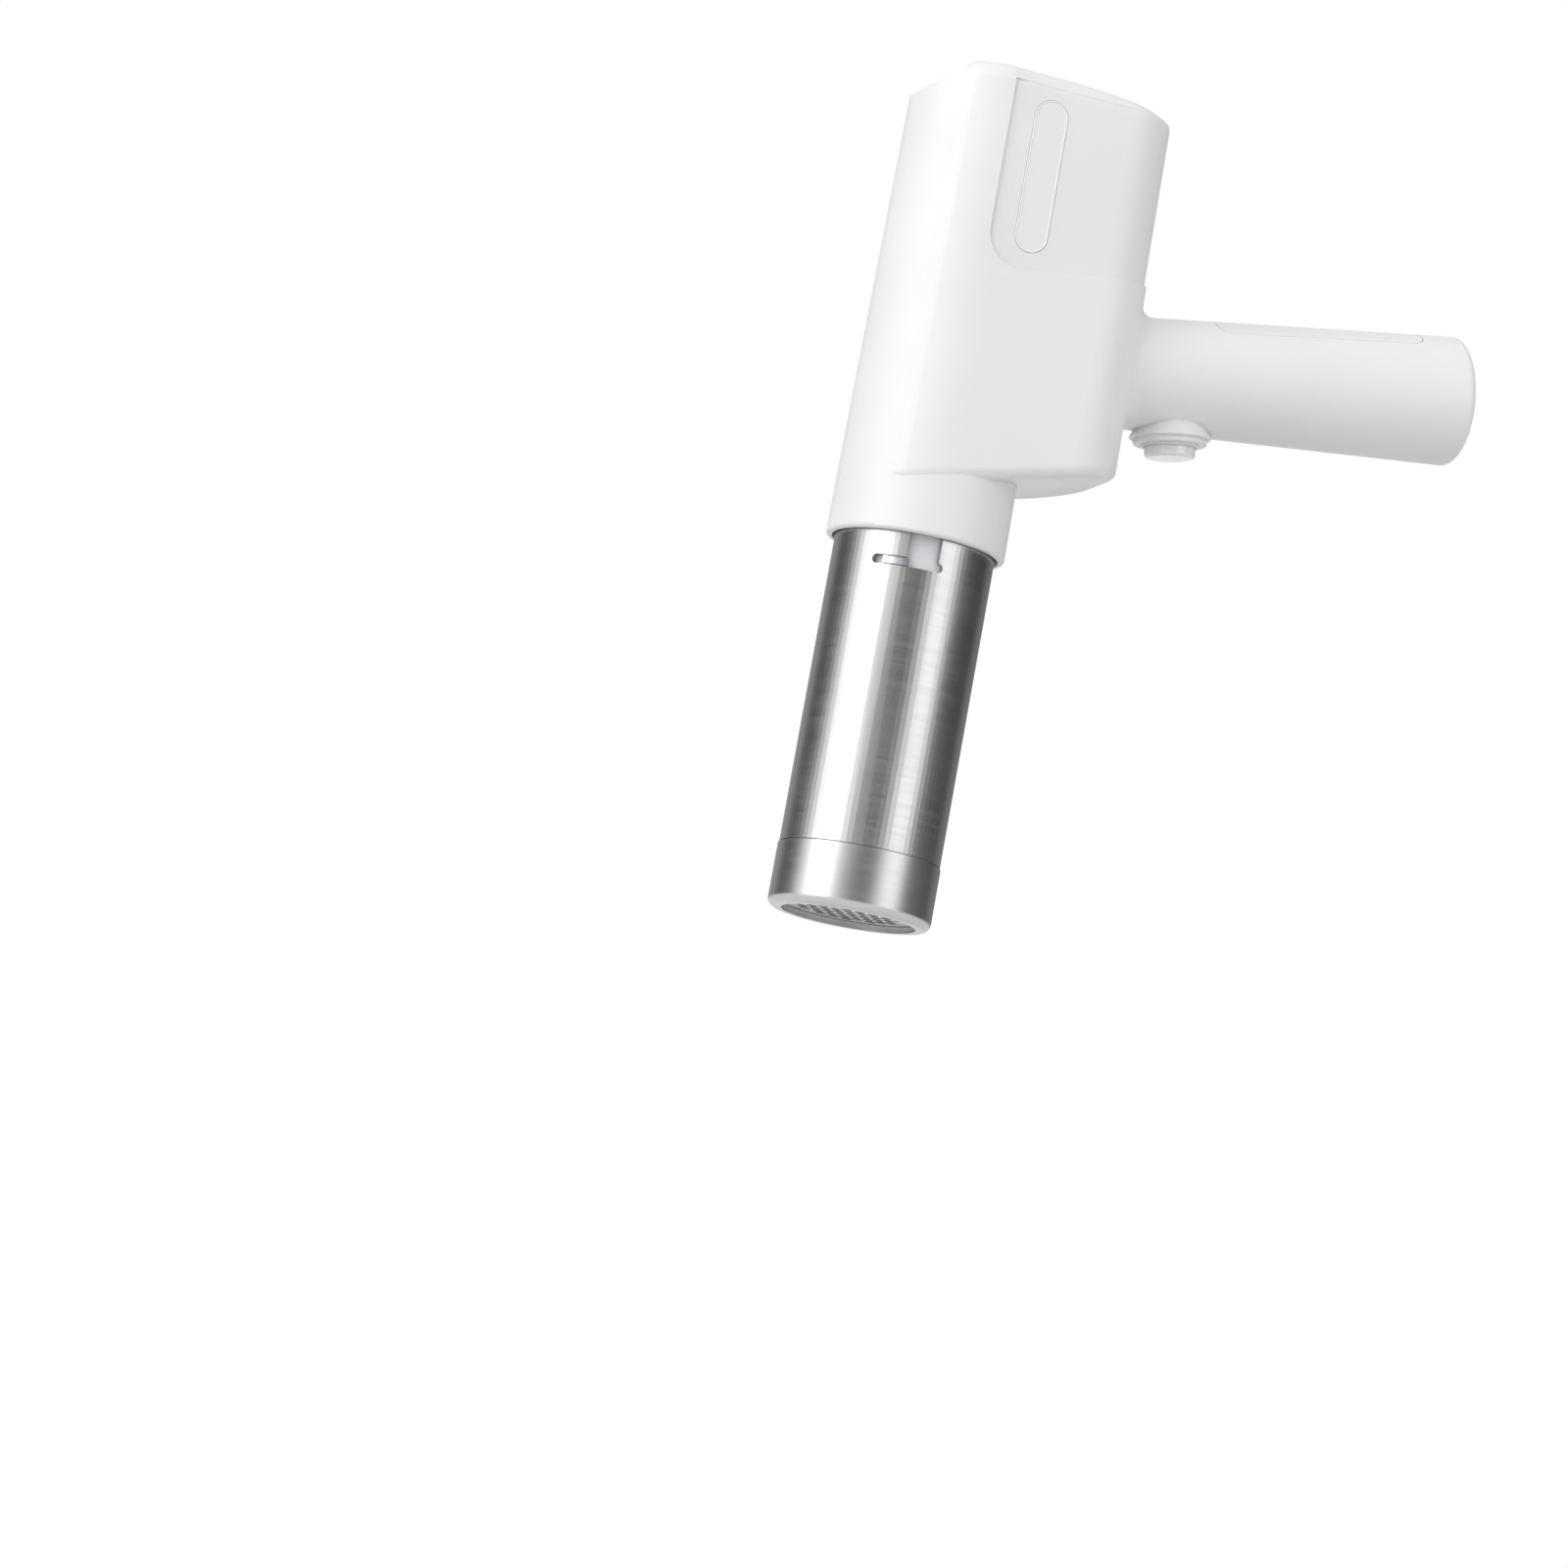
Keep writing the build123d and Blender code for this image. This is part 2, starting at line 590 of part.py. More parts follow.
def post_spots():
    """Where the screws cross the middle plane, as planes with +Z along +Y."""
    in_body = [(-POST_FRONT, POST_LOW_Z), (-POST_FRONT, POST_HIGH_Z)]
    in_body += [(POST_MIDDLE_X, POST_LOW_Z), (POST_REAR_X, POST_REAR_Z)]
    in_grip = [(GRIP_POST_LIFT, GRIP_POST_S), (-GRIP_POST_DROP, GRIP_POST_FAR_S)]
    spots = [Plane(origin=(x, 0, z), z_dir=(0, 1, 0)) for x, z in in_body]
    for lift, s in in_grip:
        spots.append(Plane(origin=GRIP_PLANE.from_local_coords(Vector(lift, 0, s)), z_dir=(0, 1, 0)))
    return spots


def posts():
    """Screw posts across the housing."""
    return [spot * Cylinder(BOSS_POST_R, 2 * BODY_HALF_WIDTH) for spot in post_spots()]


def post_holes():
    """Counterbored clearance holes on the +Y side and pilot holes on the other."""
    holes = []
    for spot in post_spots():
        bore = rod(SCREW_SHANK_R + RUN_GAP, 0, BODY_HALF_WIDTH)
        pilot = rod(SCREW_SHANK_R, -POST_BITE, CUT)
        sink = rod(SCREW_HEAD_R + RUN_GAP, POST_SEAT, 2 * BODY_HALF_WIDTH)
        holes.append(spot * (bore + pilot + sink))
    return holes


def housing_screws():
    """Six screws that hold the two housing halves together."""
    shank = rod(SCREW_SHANK_R, -POST_BITE + CUT, POST_SEAT)
    head = rod(SCREW_HEAD_R, POST_SEAT, POST_SEAT + SCREW_HEAD)
    cross = Box(DRIVE_WIDTH, DRIVE_SLOT, SCREW_HEAD) + Box(DRIVE_SLOT, DRIVE_WIDTH, SCREW_HEAD)
    drive = Pos(0, 0, POST_SEAT + SCREW_HEAD) * cross
    return [spot * (shank + head - drive) for spot in post_spots()]


def housing_ribs():
    """Ledges that seat the spigot, the guide plate and the drive plate, and the motor's rib."""
    collar_r = front_radius(FLANGE_LOW) - WALL / 2
    spigot_seat = ring(collar_r, SPIGOT_R, FLANGE_LOW - LEDGE_THICK, FLANGE_LOW)
    spigot_stop = ring(collar_r, SPIGOT_R, FLANGE_HIGH, FLANGE_HIGH + LEDGE_THICK / 2)
    guide_seat = ring(collar_r, SPIGOT_R, GUIDE_LOW - LEDGE_THICK, GUIDE_LOW)
    guide_stop = ring(collar_r, SPIGOT_R, GUIDE_HIGH, GUIDE_HIGH + LEDGE_THICK)
    ribs = spigot_seat + spigot_stop + guide_seat + guide_stop
    for low in (DRIVE_LOW - LEDGE_THICK, DRIVE_HIGH):
        hole = plan_slab(WALL + LEDGE_WIDTH, low - CUT, low + LEDGE_THICK + CUT)
        ribs += plan_slab(WALL / 2, low, low + LEDGE_THICK) - hole
    web = plan_slab(WALL / 2, MOTOR_RIB_Z, MOTOR_RIB_Z + LEDGE_THICK)
    high = MOTOR_RIB_Z + LEDGE_THICK + CUT
    web -= rod(MOTOR_R + SEAT_GAP, MOTOR_RIB_Z - CUT, high, MOTOR_X)
    web -= rod(SCREW_R + SCREW_ROOM, MOTOR_RIB_Z - CUT, high)
    return ribs + web


def hatch_ledge():
    """Rim under the battery cover's edge."""
    under = grip_body(WALL / 2) - grip_body(WALL + HATCH_GAP + HATCH_LEDGE_THICK)
    return under & (hatch_prism(HATCH_LEDGE_THICK) - hatch_prism(-HATCH_LEDGE))


def port_cut():
    """Hole in the grip's end for the charging socket."""
    slot = Pos(-PORT_DROP, 0) * RectangleRounded(PORT_HEIGHT, PORT_WIDTH, PORT_CORNER_R)
    return GRIP_PLANE * extrude(Pos(0, 0, GRIP_LENGTH - PORT_DEPTH) * slot, 2 * PORT_DEPTH)


def trigger_cut():
    """Bore through the boss for the trigger and its bezel."""
    return TRIGGER_PLANE * rod(SLEEVE_R + SEAT_GAP, -BOSS_DROP / 2, CUT)


def housing_shell():
    """Both halves of the housing in one piece, before the split."""
    cavity = envelope(WALL) + grip_body(WALL)
    limit = envelope(WALL / 2) + grip_body(WALL / 2)
    shell = outer_form() - cavity
    shell += housing_ribs() & limit
    shell += [post & limit for post in posts()]
    shell += hatch_ledge()
    shell -= rod(TUBE_R + COLLAR_GAP, COLLAR_Z - CUT, TUBE_TOP + FREE_GAP)
    shell -= hatch_prism(0) & grip_body(-CUT) - grip_body(WALL + HATCH_GAP)
    shell -= trigger_cut() + port_cut() + cover_region(0)
    shell -= block(-TOP_Z, TOP_Z, -TOP_Z, TOP_Z, LID_SEAM_Z, TOP_Z + CUT)
    return shell - post_holes()


def housing_half(shell, side):
    """Half of the shell on one side of the middle plane: side is -1 or 1."""
    reach = 2 * TOP_Z
    return shell & block(-reach, reach, min(0, side * reach), max(0, side * reach), -reach, reach)


def top_cover():
    """Lid over the lid seam, with a lip that drops inside the walls."""
    above = block(-TOP_Z, TOP_Z, -TOP_Z, TOP_Z, LID_SEAM_Z, TOP_Z + CUT)
    return (envelope(0) - envelope(WALL)) & above


def cover_skin():
    """Rear cover's wall before its edges, pockets and ledges are cut."""
    return envelope(COVER_STEP) - envelope(COVER_STEP + COVER_WALL)


def inlay_pocket(margin, depth, side):
    """Rounded strip in one side of the rear cover: side is -1 or 1."""
    outside = BODY_HALF_WIDTH - draft_at(INLAY_Z) - COVER_STEP
    lean = math.radians(DRAFT)
    face = Plane(
        origin=(INLAY_X, side * outside, INLAY_Z),
        x_dir=(1, 0, 0),
        z_dir=(0, side * math.cos(lean), math.sin(lean)),
    )
    plan = SlotOverall(INLAY_LENGTH + 2 * margin, INLAY_WIDTH + 2 * margin, rotation=90)
    return face * Pos(0, 0, -depth) * extrude(plan, depth)


def rear_cover():
    """Recessed cover round the back of the motor, with the board's ledges inside."""
    cover = cover_skin() & cover_region(0)
    shelf = plan_slab(COVER_STEP + COVER_WALL / 2, BOARD_Z - 2 * LEDGE_THICK, BOARD_Z)
    shelf &= block(BOARD_X - BOARD_LENGTH / 2, BOARD_X + BOARD_LENGTH / 2, -TOP_Z, TOP_Z, 0, TOP_Z)
    inside = BOARD_WIDTH / 2 - LEDGE_THICK
    shelf -= block(-TOP_Z, TOP_Z, -inside, inside, 0, TOP_Z)
    cover += shelf
    for side in (-1, 1):
        cover -= inlay_pocket(INLAY_GROOVE, INLAY_THICK + SEAT_GAP, side)
    return cover


def side_inlay(side):
    """Blank strip let into one side of the rear cover."""
    strip = inlay_pocket(0, INLAY_THICK, side)
    outer_face = strip.faces().sort_by(Axis((0, 0, 0), (0, side, 0)))[-1]
    return fillet(outer_face.edges(), INLAY_EDGE_R)


def battery_cover():
    """Curved cover let into the top of the grip."""
    skin = grip_body(0) - grip_body(WALL)
    return skin & hatch_prism(-HATCH_GAP)


# ------------------------------------------------------------- dough barrel
def slot_cuts():
    """Bayonet slots with round ends, and the notches that open them to the top."""
    low = SLOT_Z - SLOT_HEIGHT / 2
    inner = TUBE_BORE_R - CUT
    outer = TUBE_R + CUT
    cut = sector(inner, outer, low, low + SLOT_HEIGHT, SLOT_START, SLOT_STOP)
    cut += sector(inner, outer, SLOT_Z, TUBE_TOP + CUT, NOTCH_START, NOTCH_STOP)
    for angle in (SLOT_START, SLOT_STOP):
        drill = Rot(0, 90, 0) * Cylinder(SLOT_HEIGHT / 2, 4 * TUBE_WALL)
        cut += Rot(0, 0, angle) * Pos(TUBE_R, 0, SLOT_Z) * drill
    return Part() + around(cut, BAYONET_COUNT)


def barrel_tube():
    """Steel tube with a stepped neck below and bayonet slots above."""
    tube = ring(TUBE_R, TUBE_BORE_R, SHOULDER_Z, TUBE_TOP)
    tube += ring(NECK_R, TUBE_BORE_R, TUBE_LOW, SHOULDER_Z)
    return tube - slot_cuts()


def cap_ring():
    """Retaining cap that screws over the neck and holds the die."""
    cap = rod(CAP_R, 0, CAP_LENGTH)
    cap = fillet(cap.edges().group_by(Axis.Z)[0], CAP_EDGE_R)
    cap -= rod(CAP_BORE_R, CAP_LIP, CAP_LENGTH + CUT)
    return cap - rod(MOUTH_R, -CUT, CAP_LIP + CUT)


def die_holes():
    """Staggered rows of strand holes inside the die's field."""
    row_step = DIE_PITCH * math.sqrt(3) / 2
    rows = math.floor(DIE_FIELD_R / row_step)
    holes = []
    for row in range(-rows, rows + 1):
        shift = DIE_PITCH / 2 * (row % 2)
        reach = math.ceil(DIE_FIELD_R / DIE_PITCH)
        for column in range(-reach, reach + 1):
            x = column * DIE_PITCH + shift
            y = row * row_step
            if math.hypot(x, y) + DIE_HOLE_R <= DIE_FIELD_R:
                holes.append(rod(DIE_HOLE_R, DIE_LOW - CUT, DIE_HIGH + CUT, x, y))
    return holes


def die_plate():
    """Round plate that shapes the strands."""
    return rod(DIE_R, DIE_LOW, DIE_HIGH) - die_holes()


# --------------------------------------------------------- spigot and lugs
def bayonet_spigot():
    """Plastic spigot that enters the barrel, closed below around the lead screw."""
    outer = rod(SPIGOT_R, SPIGOT_LOW, FLANGE_HIGH)
    outer = chamfer(outer.edges().group_by(Axis.Z)[0], SPIGOT_EDGE)
    flange_r = front_radius(FLANGE_HIGH) - WALL - FREE_GAP
    spigot = outer + rod(flange_r, FLANGE_LOW, FLANGE_HIGH)
    spigot -= rod(SPIGOT_R - SPIGOT_WALL, SPIGOT_LOW + SPIGOT_FLOOR, FLANGE_HIGH + CUT)
    spigot -= rod(SCREW_R + FREE_GAP, SPIGOT_LOW - CUT, FLANGE_HIGH)
    floor_r = TUBE_BORE_R - RUN_GAP - 2 * SEAL_SECTION_R - SEAT_GAP
    half_height = SEAL_SECTION_R + SEAT_GAP
    groove = ring(SPIGOT_R + CUT, floor_r, SEAL_Z - half_height, SEAL_Z + half_height)
    return spigot - groove - lugs(SEAT_GAP)


def lugs(margin):
    """Two steel lugs through the spigot's wall into the bayonet slots."""
    inner = SPIGOT_R - SPIGOT_WALL - 2 * margin
    outer = TUBE_R - FREE_GAP + margin
    low = SLOT_Z + SLOT_HEIGHT / 2 - FREE_GAP - LUG_HEIGHT - margin
    high = SLOT_Z + SLOT_HEIGHT / 2 - FREE_GAP + margin
    return Part() + around(sector(inner, outer, low, high, LUG_START, LUG_STOP), BAYONET_COUNT)


def barrel_seal():
    """O-ring in the spigot's groove."""
    major = TUBE_BORE_R - RUN_GAP - SEAL_SECTION_R
    return Pos(0, 0, SEAL_Z) * Torus(major, SEAL_SECTION_R)


# --------------------------------------------------------- piston and screw
def push_plate():
    """Piston head that presses the dough."""
    head = rod(PISTON_R, PISTON_LOW, PISTON_HIGH)
    head = fillet(head.edges().group_by(Axis.Z)[0], PISTON_EDGE_R)
    head -= rod(SCREW_R + SEAT_GAP, PISTON_HIGH - SCREW_SOCKET, PISTON_HIGH + CUT)
    head -= rod(BOLT_R, PISTON_LOW - CUT, PISTON_HIGH)
    head -= rod(BOLT_HEAD_R + SEAT_GAP, PISTON_LOW - CUT, PISTON_LOW + BOLT_HEAD)
    return head - ring_band(PISTON_R + CUT)


def piston_ring():
    """Silicone ring round the piston head."""
    return ring_band(TUBE_BORE_R - RUN_GAP)


def ring_band(outer):
    """Band at half the head's height, from the bottom of its groove outwards."""
    low = (PISTON_LOW + PISTON_HIGH - RING_HEIGHT) / 2
    return ring(outer, PISTON_R - RING_DEPTH, low, low + RING_HEIGHT)


def piston_bolt():
    """Socket bolt that holds the piston head to the lead screw."""
    head = rod(BOLT_HEAD_R, PISTON_LOW, PISTON_LOW + BOLT_HEAD)
    shank = rod(BOLT_R, PISTON_LOW + BOLT_HEAD, PISTON_LOW + BOLT_LENGTH)
    socket = extrude(Pos(0, 0, PISTON_LOW) * RegularPolygon(BOLT_R, 6), BOLT_SOCKET)
    return head + shank - socket


def screw_section(margin):
    """Round section with two flats."""
    return Circle(SCREW_R + margin) & Rectangle(4 * SCREW_R, 2 * (SCREW_FLAT + margin))


def lead_screw():
    """Long screw with two flats; its thread is a plain cylinder."""
    low = PISTON_HIGH - SCREW_SOCKET
    screw = extrude(Pos(0, 0, low) * screw_section(0), SCREW_TOP - low)
    return screw - rod(BOLT_R, low - CUT, PISTON_LOW + BOLT_LENGTH)


# ------------------------------------------------------------- drive train
def tooth_flank(teeth, thin):
    """Radius and half tooth angle at evenly spaced points up an involute flank."""
    pitch_r = GEAR_MODULE * teeth / 2
    base_r = pitch_r * math.cos(math.radians(PRESSURE_ANGLE))
    root_r = pitch_r - TOOTH_ROOT * GEAR_MODULE
    tip_r = pitch_r + GEAR_MODULE
    pressure = math.radians(PRESSURE_ANGLE)
    half = math.pi / 2 / teeth - thin / 2 / pitch_r + math.tan(pressure) - pressure
    points = []
    for step in range(5):
        radius = max(base_r, root_r) + (tip_r - max(base_r, root_r)) * step / 4
        roll = math.acos(base_r / radius)
        points.append((radius, half - math.tan(roll) + roll))
    return root_r, points


def gear_plan(teeth, turn=0.0):
    """Outline of a spur gear with involute flanks and a little backlash."""
    root_r, flank = tooth_flank(teeth, BACKLASH)
    outline = []
    for tooth in range(teeth):
        middle = math.radians(turn) + 2 * math.pi * tooth / teeth
        rising = [(root_r, flank[0][1])] + flank
        for radius, half in rising:
            outline.append((radius * math.cos(middle - half), radius * math.sin(middle - half)))
        for radius, half in reversed(rising):
            outline.append((radius * math.cos(middle + half), radius * math.sin(middle + half)))
    return Polygon(*outline, align=None)


def drive_gear():
    """Large gear with the journal that turns in the bush."""
    gear = extrude(Pos(0, 0, GEAR_LOW) * gear_plan(GEAR_TEETH), GEAR_WIDTH)
    gear += rod(HUB_R, HUB_LOW, GEAR_HIGH) + rod(JOURNAL_R, JOURNAL_LOW, HUB_LOW)
    return gear - rod(NUT_R + SEAT_GAP, JOURNAL_LOW - CUT, GEAR_HIGH + CUT)


def drive_nut():
    """Brass nut pressed into the large gear; its thread is a plain bore."""
    return ring(NUT_R, SCREW_R + RUN_GAP, JOURNAL_LOW, NUT_HIGH)


def drive_pinion():
    """Motor pinion, turned half a tooth so that it meshes with the large gear."""
    half_pitch = 180 / PINION_TEETH
    turn = half_pitch if PINION_TEETH % 2 == 0 else 0
    gear = extrude(Pos(MOTOR_X, 0, GEAR_LOW) * gear_plan(PINION_TEETH, turn), GEAR_WIDTH)
    return gear - rod(OUTPUT_SHAFT_R + SEAT_GAP, GEAR_LOW - CUT, GEAR_HIGH + CUT, MOTOR_X)


def output_shaft():
    """Gearbox shaft that carries the pinion."""
    return rod(OUTPUT_SHAFT_R, GEAR_LOW - SHAFT_END, DRIVE_HIGH, MOTOR_X)


def guide_plate():
    """Plate whose flat-sided hole keeps the screw from turning; it also seats the bush."""
    radius = front_radius(GUIDE_HIGH) - WALL - FREE_GAP
    plate = rod(radius, GUIDE_LOW, GUIDE_HIGH)
    plate -= extrude(Pos(0, 0, GUIDE_LOW - CUT) * screw_section(RUN_GAP), GUIDE_THICK)
    return plate - rod(JOURNAL_R + RUN_GAP + BUSH_WALL, GUIDE_LOW + GUIDE_WEB, GUIDE_HIGH + CUT)


def guide_bush():
    """Flanged bronze bush round the gear's journal."""
    inner = JOURNAL_R + RUN_GAP
    outer = inner + BUSH_WALL - SEAT_GAP
    flange = ring(outer + BUSH_FLANGE_REACH, inner, GUIDE_HIGH, BUSH_HIGH)
    return ring(outer, inner, GUIDE_LOW + GUIDE_WEB, BUSH_HIGH) + flange


def thrust_races():
    """Lower and upper races of the thrust bearing."""
    lower = ring(BEARING_R, BEARING_BORE_R, GEAR_HIGH, GEAR_HIGH + BEARING_RACE)
    upper = ring(BEARING_R, BEARING_BORE_R, BEARING_HIGH - BEARING_RACE, BEARING_HIGH)
    return lower, upper


def thrust_balls():
    """Balls between the two races."""
    height = GEAR_HIGH + BEARING_RACE + RACE_GAP / 2
    return around(Pos(BALL_PITCH_R, 0, height) * Sphere(BALL_R), BALL_COUNT)


def ball_cage():
    """Thin ring that spaces the balls."""
    middle = GEAR_HIGH + BEARING_RACE + RACE_GAP / 2
    low = middle - CAGE_THICK / 2
    cage = ring(BEARING_R - CAGE_INSET, BEARING_BORE_R + CAGE_INSET, low, low + CAGE_THICK)
    return cage - around(Pos(BALL_PITCH_R, 0, middle) * Sphere(BALL_R + RUN_GAP), BALL_COUNT)


def mount_screw_spots():
    """Centres of the four gearbox screws."""
    spots = []
    for corner in range(4):
        angle = math.radians(45 + 90 * corner)
        spots.append((MOTOR_X + MOUNT_SCREW_PCD_R * math.cos(angle), MOUNT_SCREW_PCD_R * math.sin(angle)))
    return spots


def drive_plate():
    """Plate that carries the gearbox and takes the screw's thrust."""
    plate = plan_slab(WALL + FREE_GAP, DRIVE_LOW, DRIVE_HIGH)
    plate += rod(DRIVE_HUB_R, DRIVE_LOW, BEARING_HIGH + DRIVE_HUB_ROOF)
    plate -= rod(BEARING_R + SEAT_GAP, DRIVE_LOW - CUT, BEARING_HIGH)
    plate -= rod(SCREW_R + SCREW_ROOM, DRIVE_LOW, BEARING_HIGH + DRIVE_HUB_ROOF + CUT)
    plate -= rod(PILOT_R + SEAT_GAP, DRIVE_LOW - CUT, DRIVE_HIGH + CUT, MOTOR_X)
    plate -= rod(GEARBOX_R + FREE_GAP, DRIVE_HIGH, BEARING_HIGH + DRIVE_HUB_ROOF + CUT, MOTOR_X)
    hole_r = SCREW_SHANK_R + RUN_GAP
    return plate - [rod(hole_r, DRIVE_LOW - CUT, DRIVE_HIGH + CUT, x, y) for x, y in mount_screw_spots()]


def gearbox_case():
    """Round case of the planetary gearbox, with its pilot in the drive plate."""
    case = rod(GEARBOX_R, DRIVE_HIGH, GEARBOX_HIGH, MOTOR_X)
    case = chamfer(case.edges().group_by(Axis.Z)[-1], GEARBOX_EDGE)
    case += rod(PILOT_R, DRIVE_LOW, DRIVE_HIGH, MOTOR_X)
    case -= rod(OUTPUT_SHAFT_R + RUN_GAP, DRIVE_LOW - CUT, DRIVE_HIGH + CUT, MOTOR_X)
    high = DRIVE_HIGH + GEARBOX_SCREW_DEPTH
    return case - [rod(SCREW_SHANK_R, DRIVE_HIGH - CUT, high, x, y) for x, y in mount_screw_spots()]


def gearbox_screws():
    """Four screws through the drive plate into the gearbox."""
    screws = []
    for x, y in mount_screw_spots():
        head = rod(SCREW_HEAD_R, DRIVE_LOW - GEARBOX_SCREW_HEAD, DRIVE_LOW, x, y)
        shank = rod(SCREW_SHANK_R, DRIVE_LOW, DRIVE_HIGH + GEARBOX_SCREW_DEPTH - FREE_GAP, x, y)
        screws.append(head + shank)
    return screws


def motor_can():
    """Steel can of the motor."""
    can = rod(MOTOR_R, GEARBOX_HIGH, MOTOR_HIGH, MOTOR_X)
    return fillet(can.edges().group_by(Axis.Z)[-1], MOTOR_EDGE_R)


def motor_cap():
    """Plastic end cap of the motor."""
    return rod(MOTOR_CAP_R, MOTOR_HIGH, MOTOR_HIGH + MOTOR_CAP, MOTOR_X)


def motor_terminals():
    """Two solder tags on the motor's end cap."""
    low = MOTOR_HIGH + MOTOR_CAP
    tags = []
    for side in (-1, 1):
        tag = Box(TERMINAL_THICK, TERMINAL_WIDTH, TERMINAL_HEIGHT, align=BASE)
        tags.append(Pos(MOTOR_X, side * TERMINAL_SPREAD, low) * tag)
    return tags


def control_board():
    """Circuit board above the motor, resting on the rear cover's ledges."""
    board = RectangleRounded(BOARD_LENGTH, BOARD_WIDTH, BOARD_CORNER_R)
    return extrude(Pos(BOARD_X, 0, BOARD_Z) * board, BOARD_THICK)


def board_chips():
    """Two chips and two capacitors on the board."""
    top = BOARD_Z + BOARD_THICK
    pieces = []
    for side in (-1, 1):
        x = BOARD_X + side * PARTS_SPREAD_X
        pieces.append(Pos(x, -PARTS_SPREAD_Y, top) * Box(CHIP_SIZE, CHIP_SIZE, CHIP_THICK, align=BASE))
        pieces.append(rod(CAPACITOR_R, top, top + CAPACITOR_HEIGHT, x, PARTS_SPREAD_Y))
    return pieces


def wire(points, radii):
    """Round wire along straight runs joined by arcs."""
    path = FilletPolyline(*points, radius=radii)
    return sweep(Plane(origin=path @ 0, z_dir=path % 0) * Circle(WIRE_R), path=path)


def motor_wires():
    """Short leads from the motor's tags to the board."""
    leads = []
    for side in (-1, 1):
        y = side * TERMINAL_SPREAD
        low = MOTOR_HIGH + MOTOR_CAP + TERMINAL_HEIGHT / 2
        x = MOTOR_X + TERMINAL_THICK / 2 + WIRE_R
        leads.append(rod(WIRE_R, low, BOARD_Z, x, y))
    return leads


def battery_wires():
    """Leads from the battery holder up the back of the housing to the board."""
    back = MOTOR_X + WIRE_SPREAD
    leads = []
    for side in (-1, 1):
        y = side * WIRE_SPREAD
        exit_point = Vector(WIRE_LIFT, -side * CELL_SIDE, HOLDER_START)
        start = GRIP_PLANE.from_local_coords(exit_point)
        bend = GRIP_PLANE.from_local_coords(exit_point - Vector(0, 0, WIRE_STRAIGHT))
        foot = Vector(back, y, GRIP_Z + WIRE_FOOT)
        top = Vector(back, y, BOARD_Z)
        leads.append(wire([start, bend, foot, top], [WIRE_GRIP_BEND_R, WIRE_BACK_BEND_R]))
    return leads


# --------------------------------------------------------- cells in the grip
def cells():
    """Two cells side by side, each with its raised cap."""
    pair = []
    for side in (-1, 1):
        body = rod(CELL_R, CELL_START, CELL_STOP - CELL_NOSE)
        body = fillet(body.edges().filter_by(GeomType.CIRCLE), CELL_EDGE_R)
        cell = body + rod(CELL_NOSE_R, CELL_STOP - 2 * CELL_NOSE, CELL_STOP)
        pair.append(GRIP_PLANE * Pos(-CELL_DROP, side * CELL_SIDE, 0) * cell)
    return pair


def holder_end(s_low):
    """End plate of the battery holder, cut to the grip's inside."""
    height = HOLDER_TOP - HOLDER_LOW
    plate = Pos(HOLDER_LOW + height / 2, 0, s_low) * Box(height, 2 * GRIP_END_R, HOLDER_PLATE, align=BASE)
    return GRIP_PLANE * plate & grip_body(WALL + RUN_GAP)


def battery_holder():
    """Tray under the cells with an end plate at each end."""
    far = CELL_STOP + CONTACT_THICK
    length = far + HOLDER_PLATE - HOLDER_START
    floor_box = Box(HOLDER_PLATE, 2 * CELL_SIDE, length, align=(Align.MIN, Align.CENTER, Align.MIN))
    floor = GRIP_PLANE * Pos(HOLDER_LOW, 0, HOLDER_START) * floor_box
    return floor + holder_end(HOLDER_START) + holder_end(far)


def battery_contacts():
    """Spring plates at both ends of the cells."""
    plates = []
    for s_low in (CELL_START - CONTACT_THICK, CELL_STOP):
        for side in (-1, 1):
            plate = Box(CONTACT_SIZE, CONTACT_SIZE, CONTACT_THICK, align=BASE)
            plates.append(GRIP_PLANE * Pos(-CELL_DROP, side * CELL_SIDE, s_low) * plate)
    return plates


# ------------------------------------------------------------ charging port
def port_shape(length, margin, s_low):
    """Rounded slot of the charging port, along the grip's axis."""
    height = PORT_HEIGHT - 2 * margin
    plan = RectangleRounded(height, PORT_WIDTH - 2 * margin, PORT_CORNER_R - margin)
    return GRIP_PLANE * extrude(Pos(-PORT_DROP, 0, s_low) * plan, length)


def charge_port():
    """Metal shell of the charging socket with its contact tongue."""
    low = GRIP_LENGTH - PORT_DEPTH + FREE_GAP
    length = PORT_DEPTH - 3 * FREE_GAP
    shell = port_shape(length, SEAT_GAP, low)
    shell -= port_shape(length, PORT_WALL, low + PORT_BACK)
    tongue = Box(PORT_TONGUE_THICK, PORT_TONGUE_WIDTH, length - PORT_TONGUE_SHORT, align=BASE)
    return shell + GRIP_PLANE * Pos(-PORT_DROP, 0, low) * tongue


def port_plug():
    """Rubber plug over the charging socket."""
    low = GRIP_LENGTH + RUN_GAP
    height = PORT_HEIGHT + 2 * PLUG_MARGIN
    plan = RectangleRounded(height, PORT_WIDTH + 2 * PLUG_MARGIN, PORT_CORNER_R + PLUG_MARGIN)
    pad = extrude(Pos(-PORT_DROP, 0, low) * plan, PLUG_THICK)
    pad = fillet(pad.faces().sort_by(Axis.Z)[-1].edges(), PLUG_EDGE_R)
    tongue = port_shape(PLUG_TONGUE, PORT_WALL + FREE_GAP, low - PLUG_TONGUE)
    slit = Box(PLUG_SLIT, PLUG_SLIT_WIDTH, PLUG_TONGUE - PLUG_SLIT_FLOOR, align=BASE)
    return GRIP_PLANE * pad + tongue - GRIP_PLANE * Pos(-PORT_DROP, 0, low - PLUG_TONGUE) * slit


